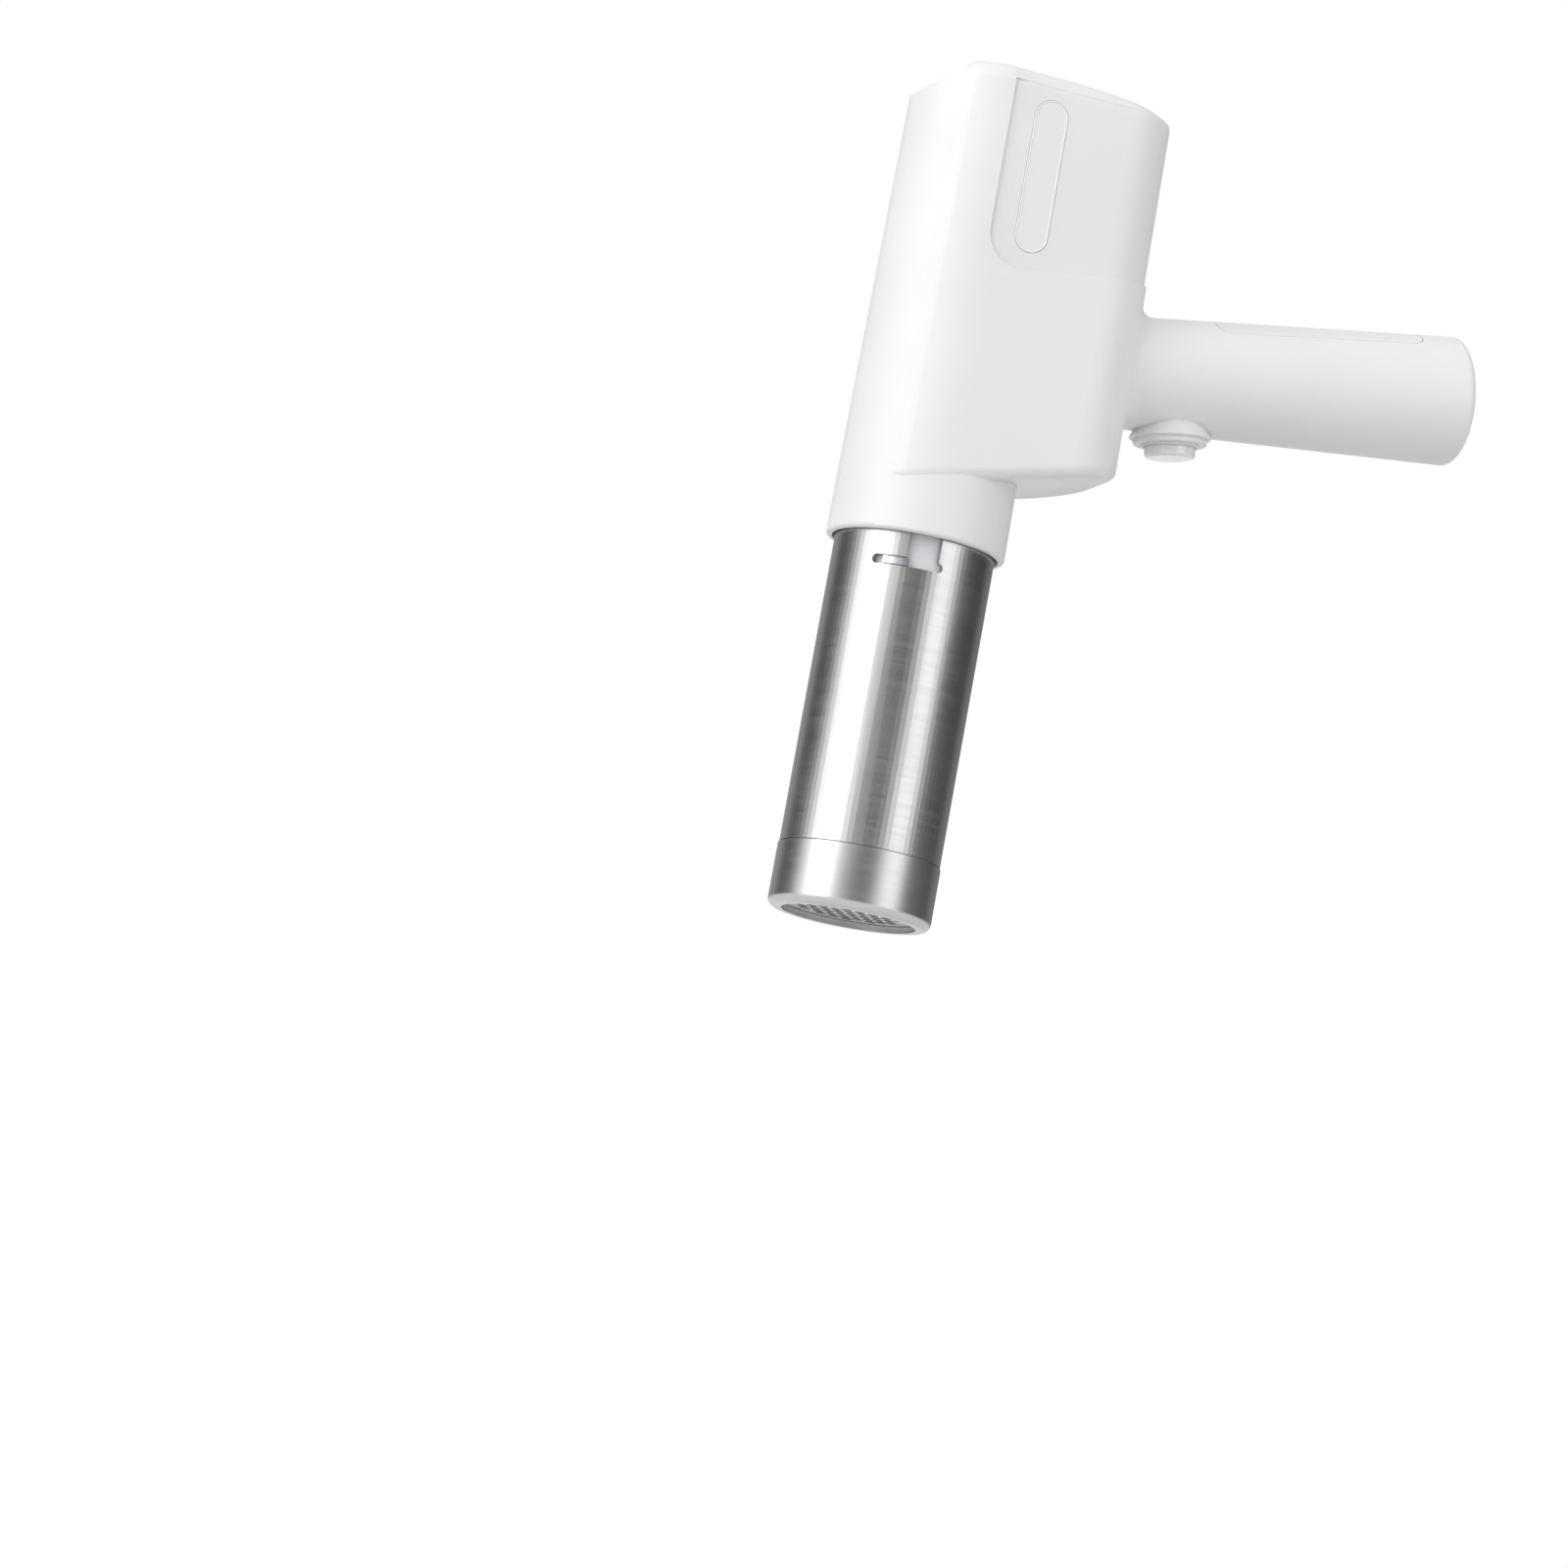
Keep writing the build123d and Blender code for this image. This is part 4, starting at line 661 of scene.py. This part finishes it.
HOUSING_WHITE = Plastic("housing_white", (0.86, 0.86, 0.86), (0.83, 0.832, 0.835))
COVER_WHITE = Plastic("cover_white", (0.84, 0.84, 0.842), (0.81, 0.813, 0.816), grain=6000.0)
INLAY_WHITE = Plastic(
    "inlay_white", (0.85, 0.85, 0.85), (0.83, 0.83, 0.835), rough=(0.4, 0.48), depth=6e-6
)
# The bead's white is brighter than the inlay's as a painted highlight along the bead; its gloss is
# its own.
LIT_BEAD_WHITE = Plastic(
    "lit_bead_white",
    (0.93, 0.93, 0.93),
    (0.91, 0.91, 0.912),
    rough=(0.14, 0.2),
    depth=1e-6,
    seam=0.0,
    coat=0.5,
)
BUTTON_WHITE = Plastic(
    "button_white", (0.88, 0.88, 0.88), (0.86, 0.86, 0.865), rough=(0.12, 0.2), depth=2e-6, coat=0.5
)
BARREL_STEEL = Metal("barrel_steel", (0.56, 0.555, 0.55), (0.53, 0.525, 0.52), rough=(0.29, 0.33))
MACHINED_STEEL = Metal("machined_steel", (0.56, 0.56, 0.555), (0.46, 0.46, 0.455), lines=3600.0)
LUG_STEEL = Metal("lug_steel", (0.72, 0.73, 0.74), (0.62, 0.63, 0.64), rough=(0.12, 0.22))
ACETAL = Plastic(
    "milky_acetal", (0.8, 0.81, 0.83), (0.76, 0.77, 0.8), rough=(0.2, 0.32), soft=0.25
)
SILICONE = Plastic("food_silicone", (0.72, 0.72, 0.7), (0.66, 0.66, 0.64), rough=(0.42, 0.6))
PLUG_RUBBER = Plastic("plug_rubber", (0.72, 0.72, 0.72), (0.66, 0.66, 0.67), rough=(0.5, 0.65))
BRASS = Metal("turned_brass", (0.72, 0.53, 0.25), (0.6, 0.43, 0.19), lines=3000.0)
GEAR_ACETAL = Plastic("gear_acetal", (0.8, 0.77, 0.68), (0.74, 0.71, 0.62), rough=(0.3, 0.45))
DARK_NYLON = Plastic("dark_nylon", (0.045, 0.045, 0.047), (0.03, 0.03, 0.032), rough=(0.4, 0.56))
CAST_ALLOY = Metal(
    "cast_alloy",
    (0.6, 0.6, 0.61),
    (0.52, 0.52, 0.53),
    rough=(0.38, 0.55),
    brush=Brush.CAST,
    lines=1800.0,
    depth=30e-6,
)
ZINC_PLATE = Metal(
    "zinc_plate", (0.6, 0.61, 0.62), (0.52, 0.53, 0.55), rough=(0.25, 0.4), brush=Brush.UPRIGHT
)
SOLDER_MASK = Plastic(
    "solder_mask", (0.015, 0.16, 0.06), (0.01, 0.1, 0.04), rough=(0.15, 0.28), coat=0.4
)
CHIP_EPOXY = Plastic("chip_epoxy", (0.022, 0.022, 0.024), (0.015, 0.015, 0.016), rough=(0.45, 0.6))
RED_PVC = Plastic("red_pvc", (0.5, 0.02, 0.015), (0.42, 0.016, 0.012), rough=(0.25, 0.36))
CELL_SLEEVE = Plastic(
    "cell_sleeve", (0.03, 0.14, 0.38), (0.02, 0.1, 0.3), rough=(0.16, 0.28), coat=0.3
)
NICKEL = Metal(
    "nickel_strip", (0.66, 0.63, 0.56), (0.56, 0.54, 0.48), rough=(0.16, 0.28), brush=Brush.CAST
)


# ------------------------------ pieces
@dataclass
class Assembly:
    """A group of pieces that belong together.

    Attributes:
        title: what the log calls it.
        finishes: the finish of each of its CAD nodes.
    """

    title: str = "assembly"
    finishes: dict[str, Finish] = field(default_factory=dict)

    def build(self) -> None:
        """Dresses the nodes; an assembly with pieces of its own adds them after this."""
        for node, finish in self.finishes.items():
            self.dress(node, finish)

    def dress(self, node: str, finish: Finish) -> None:
        """Gives a CAD node its finish.

        Args:
            node: the node's name.
            finish: the finish it gets.
        """
        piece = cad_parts[node]
        if not piece.data.materials:
            piece.data.materials.append(finish.material)
        for at in range(len(piece.data.materials)):
            piece.data.materials[at] = finish.material
        log.info("%s: %s in %s", self.title, node, finish.name)

    @staticmethod
    def copied(node: str) -> bmesh.types.BMesh:
        """Starts a shape from a copy of a CAD node's mesh, with its loose triangles joined.

        Args:
            node: the node's name.

        Returns:
            The new shape.
        """
        shape = bmesh.new()
        shape.from_mesh(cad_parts[node].data)
        bmesh.ops.remove_doubles(shape, verts=shape.verts, dist=MERGE)
        return shape

    def place(
        self, name: str, shape: bmesh.types.BMesh, finish: Finish, body: str
    ) -> bpy.types.Object:
        """Makes a piece from a finished shape and lets it ride.

        Args:
            name: the piece's name.
            shape: its shape; it is freed here.
            finish: the finish it gets.
            body: the body it moves with.

        Returns:
            The new object.
        """
        mesh = to_mesh(name, shape)
        mesh.materials.append(finish.material)
        mesh.shade_smooth()
        mesh.set_sharp_from_angle(angle=SHARP)
        piece = new_object(name, mesh)
        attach(piece, body)
        log.info("%s: %s with %d faces", self.title, name, len(mesh.polygons))
        return piece


@dataclass
class Housing(Assembly):
    """The white shell of the body and the grip, with its lid and covers.

    Attributes:
        crown_start: share of the lid's length before its top begins to fall.
        crown_drop: how far the lid's top falls at its rear edge, in millimetres.
        crown_power: how late the fall sets in; 1 is a straight slope.
        crown_steps: number of strips that the falling part is cut into.
        flush_start: where the lid begins to draw in over the recessed cover, in millimetres
            from the barrel's axis.
        flush_in: how far it draws in there, in millimetres.
        flush_sharpness: how many times shorter than the lid's rear part the draw-in is.
        bead_r: radius of the bead on a blank strip's rim, in millimetres.
        bead_inset: how far its middle is inside the strip's rim, as a share of its radius.
        bead_depth: depth of the bead's middle under the strip's face, in millimetres.
        bead_sides: number of steps round the bead.
        bead_steps: number of steps round each of its ends.
        lean: how far the walls lean in for each unit of height.
    """

    title: str = "housing"
    crown_start: float = 0.3
    crown_drop: float = 4.6
    crown_power: float = 3.0
    crown_steps: int = 14
    flush_start: float = -4.0
    flush_in: float = 0.75
    flush_sharpness: float = 12.0
    bead_r: float = 0.25
    bead_inset: float = 0.25
    bead_depth: float = 0.03
    bead_sides: int = 12
    bead_steps: int = 18
    lean: float = math.tan(math.radians(0.57))

    def __post_init__(self) -> None:
        """Says which finish each piece of the shell has."""
        self.finishes = {
            "housing_left": HOUSING_WHITE,
            "housing_right": HOUSING_WHITE,
            "top_cover": COVER_WHITE,
            "rear_cover": COVER_WHITE,
            "battery_cover": COVER_WHITE,
            "side_inlay_left": INLAY_WHITE,
            "side_inlay_right": INLAY_WHITE,
            "housing_screws": MACHINED_STEEL,
        }

    def build(self) -> None:
        """Dresses the shell, crowns its lid and lays a bead round each of the blank strips."""
        super().build()
        self.lid()
        for node in ("side_inlay_left", "side_inlay_right"):
            self.bead(node)

    def lid(self) -> None:
        """Makes the lid again: its top falls towards the grip, where its sides draw in."""
        low, high = (Vector(corner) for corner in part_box("top_cover"))
        start = low.x + self.crown_start * (high.x - low.x)
        bend = self.flush_start * MM
        shape = self.copied("top_cover")
        for step in range(self.crown_steps):
            at = start + (high.x - start) * step / self.crown_steps
            bmesh.ops.bisect_plane(
                shape,
                geom=shape.verts[:] + shape.edges[:] + shape.faces[:],
                plane_co=(at, 0.0, 0.0),
                plane_no=X_AXIS,
            )
        for vert in shape.verts:
            rise = (vert.co.z - low.z) / (high.z - low.z)
            along = max(0.0, (vert.co.x - start) / (high.x - start))
            vert.co.z -= self.crown_drop * MM * rise * along**self.crown_power
            back = max(0.0, (vert.co.x - bend) / (high.x - bend))
            inward = self.flush_in * MM * min(1.0, self.flush_sharpness * back)
            vert.co.y *= 1.0 - inward / high.y
            vert.co.x -= inward * back
        piece = self.place("crowned_lid", shape, COVER_WHITE, "housing")
        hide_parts("top_cover")

    def bead(self, node: str) -> None:
        """Lays a thin raised bead along the rim of a blank strip, beside its groove.

        Args:
            node: the strip's name.
        """
        low, high = (Vector(corner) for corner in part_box(node))
        side = 1.0 if low.y > 0.0 else -1.0
        width, height = high.x - low.x, high.z - low.z
        shape = self.oval(width / 2 - self.bead_inset * self.bead_r * MM, (height - width) / 2)
        middle = (low + high) / 2
        outside = high.y if side > 0.0 else low.y
        middle.y = outside - side * (self.lean * height / 2 + self.bead_depth * MM)
        out = Vector((0.0, side, self.lean)).normalized()
        turned = Matrix((X_AXIS, out.cross(X_AXIS), out)).transposed().to_4x4()
        move = Matrix.Translation(middle) @ turned
        bmesh.ops.transform(shape, verts=shape.verts, matrix=move)
        bead = node.replace("side_inlay", "inlay_bead")
        piece = self.place(bead, shape, LIT_BEAD_WHITE, "housing")

    def oval(self, reach: float, straight: float) -> bmesh.types.BMesh:
        """Sweeps the bead's round section along a long oval that lies flat.

        Args:
            reach: radius of the oval's round ends, in metres.
            straight: half the length of its straight sides, in metres.

        Returns:
            The closed bead, with its middle at the origin.
        """
        shape = bmesh.new()
        upright = Matrix.Rotation(math.radians(90), 4, "X")
        bmesh.ops.create_circle(
            shape,
            segments=self.bead_sides,
            radius=self.bead_r * MM,
            matrix=Matrix.Translation((reach, -straight, 0.0)) @ upright,
        )
        end = shape.edges[:]
        for turn in (1.0, -1.0):
            run = bmesh.ops.extrude_edge_only(shape, edges=end)["geom"]
            moved = [part for part in run if isinstance(part, bmesh.types.BMVert)]
            bmesh.ops.translate(shape, verts=moved, vec=(0.0, 2 * straight * turn, 0.0))
            edges = [part for part in run if isinstance(part, bmesh.types.BMEdge)]
            ring = [edge for edge in edges if all(vert in moved for vert in edge.verts)]
            swept = bmesh.ops.spin(
                shape,
                geom=ring + moved,
                cent=(0.0, straight * turn, 0.0),
                axis=Z_AXIS,
                angle=math.radians(180),
                steps=self.bead_steps,
            )
            end = [part for part in swept["geom_last"] if isinstance(part, bmesh.types.BMEdge)]
        bmesh.ops.remove_doubles(shape, verts=shape.verts, dist=MERGE)
        bmesh.ops.recalc_face_normals(shape, faces=shape.faces)
        return shape


@dataclass
class Trigger(Assembly):
    """The push button with its ring, spring and switch.

    Attributes:
        tilt: degrees by which the grip leans back; not used.
        pressed: share of the spring's length that is left when the button is in; not used.
    """

    title: str = "trigger"
    tilt: float = 8.8
    pressed: float = 0.6

    def __post_init__(self) -> None:
        """Says which finish each piece of the trigger has."""
        self.finishes = {
            "trigger_bezel": HOUSING_WHITE,
            "trigger_button": BUTTON_WHITE,
            "trigger_spring": MACHINED_STEEL,
            "switch_bracket": DARK_NYLON,
            "microswitch": DARK_NYLON,
        }

    def build(self) -> None:
        """Dresses the trigger and makes its spring again as a piece of its own."""
        super().build()
        self.pressed_spring()

    def pressed_spring(self) -> None:
        """Makes the spring again as a piece of its own that rides with the housing."""
        shape = self.copied("trigger_spring")
        piece = self.place("pressed_spring", shape, MACHINED_STEEL, "housing")
        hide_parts("trigger_spring")
        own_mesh(piece)


@dataclass
class Barrel(Assembly):
    """The steel dough barrel with its cap, its die and the bayonet that carries it.

    Attributes:
        neck_r: radius of the threaded neck, in millimetres.
        slack: how far a vertex of the neck may be off that radius, in millimetres.
        upright: how level the normal of a face must be for the face to be cut out there.
        pitch: rise of the thread in one turn, in millimetres.
        thread_depth: depth of the thread, in millimetres.
        thread_slope: how steep its flanks are; at 1 they meet at the crest.
        run_out: length over which the thread fades at each end, in millimetres.
        columns: number of steps round the neck.
        rows: number of steps along it for each turn.
    """

    title: str = "barrel"
    neck_r: float = 24.5
    slack: float = 0.02
    upright: float = 0.9
    pitch: float = 3.0
    thread_depth: float = 0.45
    thread_slope: float = 1.25
    run_out: float = 1.2
    columns: int = 144
    rows: int = 12

    def __post_init__(self) -> None:
        """Says which finish each piece of the barrel has."""
        self.finishes = {
            "barrel_tube": BARREL_STEEL,
            "cap_ring": BARREL_STEEL,
            "die_plate": MACHINED_STEEL,
            "bayonet_spigot": ACETAL,
            "bayonet_lugs": LUG_STEEL,
            "barrel_seal": SILICONE,
        }

    def build(self) -> None:
        """Dresses the barrel and cuts the thread into its neck."""
        super().build()
        self.threaded_tube()

    def on_neck(self, face: bmesh.types.BMFace) -> bool:
        """Tells whether all of a face lies on the neck's radius."""
        reach = (vert.co.xy.length for vert in face.verts)
        return all(abs(value - self.neck_r * MM) < self.slack * MM for value in reach)

    def thread_reach(self, share: float, height: float, room: float) -> float:
        """Works out how far the threaded neck's surface is from the axis.

        Args:
            share: how far round it is, in turns.
            height: how high it is, in metres.
            room: how far it is from the nearer end of the neck, in metres.

        Returns:
            The distance, in metres.
        """
        phase = (height / (self.pitch * MM) - share) % 1.0
        fade = max(0.0, min(1.0, room / (self.run_out * MM)))
        groove = max(0.0, 1.0 - abs(2.0 * phase - 1.0) * self.thread_slope)
        return (self.neck_r - self.thread_depth * groove * fade) * MM

    def threaded_tube(self) -> None:
        """Makes the tube again with a real thread in its neck, inside the plain neck."""
        shape = self.copied("barrel_tube")
        smooth = [face for face in shape.faces if self.on_neck(face)]
        heights = [vert.co.z for face in smooth for vert in face.verts]
        low, high = min(heights), max(heights)
        walls = [face for face in smooth if face.normal.xy.length > self.upright]
        bmesh.ops.delete(shape, geom=walls, context="FACES")
        steps = math.ceil((high - low) / (self.pitch * MM) * self.rows)
        half = 0.5
        grid = bmesh.ops.create_grid(shape, x_segments=self.columns, y_segments=steps, size=half)
        for vert in grid["verts"]:
            share = vert.co.x + half
            height = low + (high - low) * (vert.co.y + half)
            turn = 2 * math.pi * share
            reach = self.thread_reach(share, height, min(height - low, high - height))
            vert.co = (reach * math.cos(turn), reach * math.sin(turn), height)
        bmesh.ops.remove_doubles(shape, verts=grid["verts"], dist=MERGE)
        bmesh.ops.recalc_face_normals(shape, faces=shape.faces)
        piece = self.place("threaded_tube", shape, BARREL_STEEL, "barrel")
        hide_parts("barrel_tube")


@dataclass
class Drive(Assembly):
    """The piston and everything that turns the motor's speed into its push."""

    title: str = "drive"

    def __post_init__(self) -> None:
        """Says which finish each piece of the drive has."""
        self.finishes = {
            "push_plate": ACETAL,
            "piston_ring": SILICONE,
            "piston_bolt": MACHINED_STEEL,
            "lead_screw": MACHINED_STEEL,
            "drive_gear": GEAR_ACETAL,
            "drive_nut": BRASS,
            "drive_pinion": MACHINED_STEEL,
            "output_shaft": MACHINED_STEEL,
            "guide_plate": CAST_ALLOY,
            "guide_bush": BRASS,
            "thrust_race_lower": MACHINED_STEEL,
            "thrust_race_upper": MACHINED_STEEL,
            "thrust_balls": LUG_STEEL,
            "ball_cage": BRASS,
            "drive_plate": CAST_ALLOY,
            "gearbox_case": ZINC_PLATE,
            "gearbox_screws": MACHINED_STEEL,
        }


@dataclass
class Power(Assembly):
    """The motor, its board, the cells and the leads between them."""

    title: str = "power"

    def __post_init__(self) -> None:
        """Says which finish each piece of the electrics has."""
        self.finishes = {
            "motor_can": ZINC_PLATE,
            "motor_cap": DARK_NYLON,
            "motor_terminals": NICKEL,
            "control_board": SOLDER_MASK,
            "board_chips": CHIP_EPOXY,
            "motor_wires": RED_PVC,
            "battery_wires": RED_PVC,
            "battery_cells": CELL_SLEEVE,
            "battery_holder": DARK_NYLON,
            "battery_contacts": NICKEL,
            "charge_port": NICKEL,
            "port_plug": PLUG_RUBBER,
        }


# ------------------------------ studio
@dataclass(frozen=True)
class Viewpoint:
    """The camera's place.

    Attributes:
        azimuth: degrees round the object; 0 looks along +Y.
        elevation: degrees above the horizon.
        roll: degrees by which the camera is turned about its own axis.
        distance: metres from what it is aimed at.
        aim: the point in the middle of the picture, in metres.
        lens: focal length in millimetres.
        sensor: width of the sensor in millimetres.
        reach: the nearest and farthest that it sees, in metres.
    """

    azimuth: float = -16.71
    elevation: float = -8.57
    roll: float = 10.33
    distance: float = 1.9519
    aim: Point = (-0.02827, 0.0, 0.03689)
    lens: float = 144.35
    sensor: float = 36.0
    reach: tuple[float, float] = (0.05, 50.0)

    def toward(self, angle: float, lift: float = 0.0) -> Vector:
        """Direction from the object to a place beside the camera.

        Args:
            angle: degrees to the camera's right.
            lift: degrees above the horizon.

        Returns:
            The unit vector.
        """
        around = math.radians(self.azimuth + angle)
        high = math.radians(lift)
        return Vector(
            (math.sin(around) * math.cos(high), -math.cos(around) * math.cos(high), math.sin(high))
        )

    def build(self) -> None:
        """Makes the camera and gives it to the scene."""
        back = self.toward(0.0, self.elevation)
        side = self.toward(90.0)
        above = back.cross(side)
        turn = math.radians(self.roll)
        right = side * math.cos(turn) + above * math.sin(turn)
        up = above * math.cos(turn) - side * math.sin(turn)
        data = bpy.data.cameras.new("studio_camera")
        data.lens = self.lens
        data.sensor_width = self.sensor
        data.clip_start, data.clip_end = self.reach
        camera = new_object("studio_camera", data)
        place = Matrix.Translation(Vector(self.aim) + back * self.distance)
        camera.matrix_world = place @ Matrix((right, up, back)).transposed().to_4x4()
        bpy.context.scene.camera = camera


@dataclass(frozen=True)
class Softbox:
    """A flat soft lamp that faces the object.

    Attributes:
        name: the lamp's name.
        angle: degrees to the camera's right.
        lift: degrees above the horizon.
        distance: metres from the object.
        size: width and height in metres.
        power: watts.
    """

    name: str
    angle: float
    lift: float
    distance: float
    size: tuple[float, float]
    power: float

    def build(self, view: Viewpoint, middle: Vector) -> None:
        """Makes the lamp.

        Args:
            view: the camera that the angle is counted from.
            middle: the point that the lamp faces.
        """
        data = bpy.data.lights.new(self.name, "AREA")
        data.shape = "RECTANGLE"
        data.size, data.size_y = self.size
        data.energy = self.power
        lamp = new_object(self.name, data)
        back = view.toward(self.angle, self.lift)
        lamp.location = middle + back * self.distance
        lamp.rotation_mode = "QUATERNION"
        lamp.rotation_quaternion = back.to_track_quat("Z", "Y")
        log.info("studio: %s at %.0f degrees", self.name, self.angle)


@dataclass(frozen=True)
class Flag:
    """A curved dark screen that only shows in what is polished.

    Attributes:
        name: the screen's name.
        start: where it begins, in degrees to the camera's right.
        stop: where it ends.
        shade: how bright it is.
        radius: metres from the object's axis.
        low: height of its lower edge, in metres.
        high: height of its upper edge, in metres.
        steps: number of flat strips it is made of.
    """

    name: str
    start: float
    stop: float
    shade: float
    radius: float = 1.6
    low: float = -0.02
    high: float = 2.4
    steps: int = 24

    def build(self, view: Viewpoint) -> bpy.types.Object:
        """Makes the screen.

        Args:
            view: the camera that the angles are counted from.

        Returns:
            The screen's object.
        """
        shape = bmesh.new()
        foot = view.toward(self.start) * self.radius
        low = shape.verts.new((foot.x, foot.y, self.low))
        high = shape.verts.new((foot.x, foot.y, self.high))
        edge = shape.edges.new((low, high))
        bmesh.ops.spin(
            shape,
            geom=[low, high, edge],
            cent=(0.0, 0.0, 0.0),
            axis=Z_AXIS,
            angle=math.radians(self.stop - self.start),
            steps=self.steps,
        )
        mesh = to_mesh(self.name, shape)
        made, wires = new_material(self.name)
        made.cycles.emission_sampling = "NONE"
        glow = wires.add("Emission")
        wires.feed((self.shade,) * 3, glow.inputs["Color"])
        wires.show(glow.outputs[0])
        mesh.materials.append(made)
        screen = new_object(self.name, mesh)
        screen.visible_camera = False
        screen.visible_diffuse = False
        screen.visible_shadow = False
        screen.visible_transmission = False
        return screen


@dataclass
class Studio:
    """The floor, the lamps, the dark screens, the white surround and the camera.

    Attributes:
        view: the camera's place.
        middle: the point that the lamps face, in metres.
        floor_height: height of the floor, in metres; the object hangs a little above it.
        floor_radius: radius of the floor, in metres.
        floor_sides: number of steps round its rim.
        floor_fade: where its rim begins and ends to fade, as shares of the radius.
        floor_colour: how much light the floor throws back.
        floor_glow: how much brighter it is where it is looked at.
        soft_level: how bright the surround's soft light is, where 1 is white.
    """

    view: Viewpoint = Viewpoint()
    middle: Point = (0.01, 0.0, 0.13)
    floor_height: float = -0.02
    floor_radius: float = 0.95
    floor_sides: int = 96
    floor_fade: tuple[float, float] = (0.3, 0.97)
    floor_colour: float = 0.62
    floor_glow: float = 0.5
    soft_level: float = 0.62
    lamps: tuple[Softbox, ...] = (
        Softbox("left_softbox", -52.0, 18.0, 1.1, (0.8, 1.4), 7.6),
        Softbox("right_softbox", 50.0, 20.0, 1.1, (0.54, 1.3), 2.4),
        Softbox("top_softbox", -30.0, 76.0, 1.3, (1.2, 1.2), 1.0),
    )
    flags: tuple[Flag, ...] = (
        Flag("front_flag_rim", -24.0, -14.0, 0.62),
        Flag("front_flag_edge", -14.0, -4.0, 0.3),
        Flag("front_flag", -4.0, 28.0, 0.02),
        Flag("right_flag", 69.0, 132.0, 0.03),
        Flag("right_far_flag", 132.0, 168.0, 0.25),
        Flag("left_flag", -132.0, -90.0, 0.02),
        Flag("left_far_flag", -168.0, -132.0, 0.4),
    )

    def build(self) -> None:
        """Makes everything round the object."""
        self.view.build()
        middle = Vector(self.middle)
        for lamp in self.lamps:
            lamp.build(self.view, middle)
        for flag in self.flags:
            flag.build(self.view)
        self.floor()
        self.surround()
        bpy.context.scene.view_settings.view_transform = "Standard"
        log.info("studio: %d lamps and %d screens", len(self.lamps), len(self.flags))

    def floor(self) -> bpy.types.Object:
        """Makes the pale floor, which is clear from below and fades at its rim.

        Returns:
            The floor's object.
        """
        shape = bmesh.new()
        bmesh.ops.create_circle(
            shape, cap_ends=True, segments=self.floor_sides, radius=self.floor_radius
        )
        bmesh.ops.translate(shape, verts=shape.verts, vec=(0.0, 0.0, self.floor_height))
        mesh = to_mesh("pale_floor", shape)
        made, wires = new_material("pale_floor")
        paper = wires.add("BsdfDiffuse")
        wires.feed((self.floor_colour,) * 3, paper.inputs["Color"])
        lift = wires.add("Emission")
        glow = wires.math("MULTIPLY", self.looked_at(wires), self.floor_glow)
        wires.join(glow, lift.inputs["Strength"])
        lit = wires.add("AddShader")
        wires.join(paper.outputs[0], lit.inputs[0])
        wires.join(lift.outputs[0], lit.inputs[1])
        reach = wires.vector("LENGTH", wires.add("TexCoord").outputs["Object"]).outputs["Value"]
        rim = wires.span(reach, tuple(share * self.floor_radius for share in self.floor_fade))
        under = wires.add("NewGeometry").outputs["Backfacing"]
        clear = wires.add("BsdfTransparent").outputs[0]
        wires.show(wires.mix(wires.math("MAXIMUM", rim, under), lit.outputs[0], clear))
        mesh.materials.append(made)
        return new_object("pale_floor", mesh)

    @staticmethod
    def looked_at(wires: Wiring) -> Socket:
        """Tells rays that look from rays that light.

        Args:
            wires: the wiring of the material or world that asks.

        Returns:
            The socket of a mask: 1 for what is seen, mirrored or seen through, 0 for other light.
        """
        rays = wires.add("LightPath")
        seen = wires.math("MAXIMUM", rays.outputs["Is Camera Ray"], rays.outputs["Is Glossy Ray"])
        return wires.math("MAXIMUM", seen, rays.outputs["Is Transmission Ray"])

    def surround(self) -> None:
        """Sets the world: white where it is seen or mirrored, and a soft level elsewhere."""
        world = bpy.data.worlds.new("white_surround")
        world.use_nodes = True
        bpy.context.scene.world = world
        wires = Wiring(world.node_tree)
        skies = []
        for level in (self.soft_level, 1.0):
            sky = wires.add("Background")
            wires.feed((level,) * 3, sky.inputs["Color"])
            skies.append(sky.outputs[0])
        wires.show(wires.mix(self.looked_at(wires), *skies), "OutputWorld")


def main() -> None:
    """Builds the studio and every sub-assembly, in order."""
    logging.basicConfig(level=logging.INFO, format="%(name)s %(message)s")
    Studio().build()
    for assembly in (Housing(), Trigger(), Barrel(), Drive(), Power()):
        assembly.build()


if __name__ == "__main__":
    main()
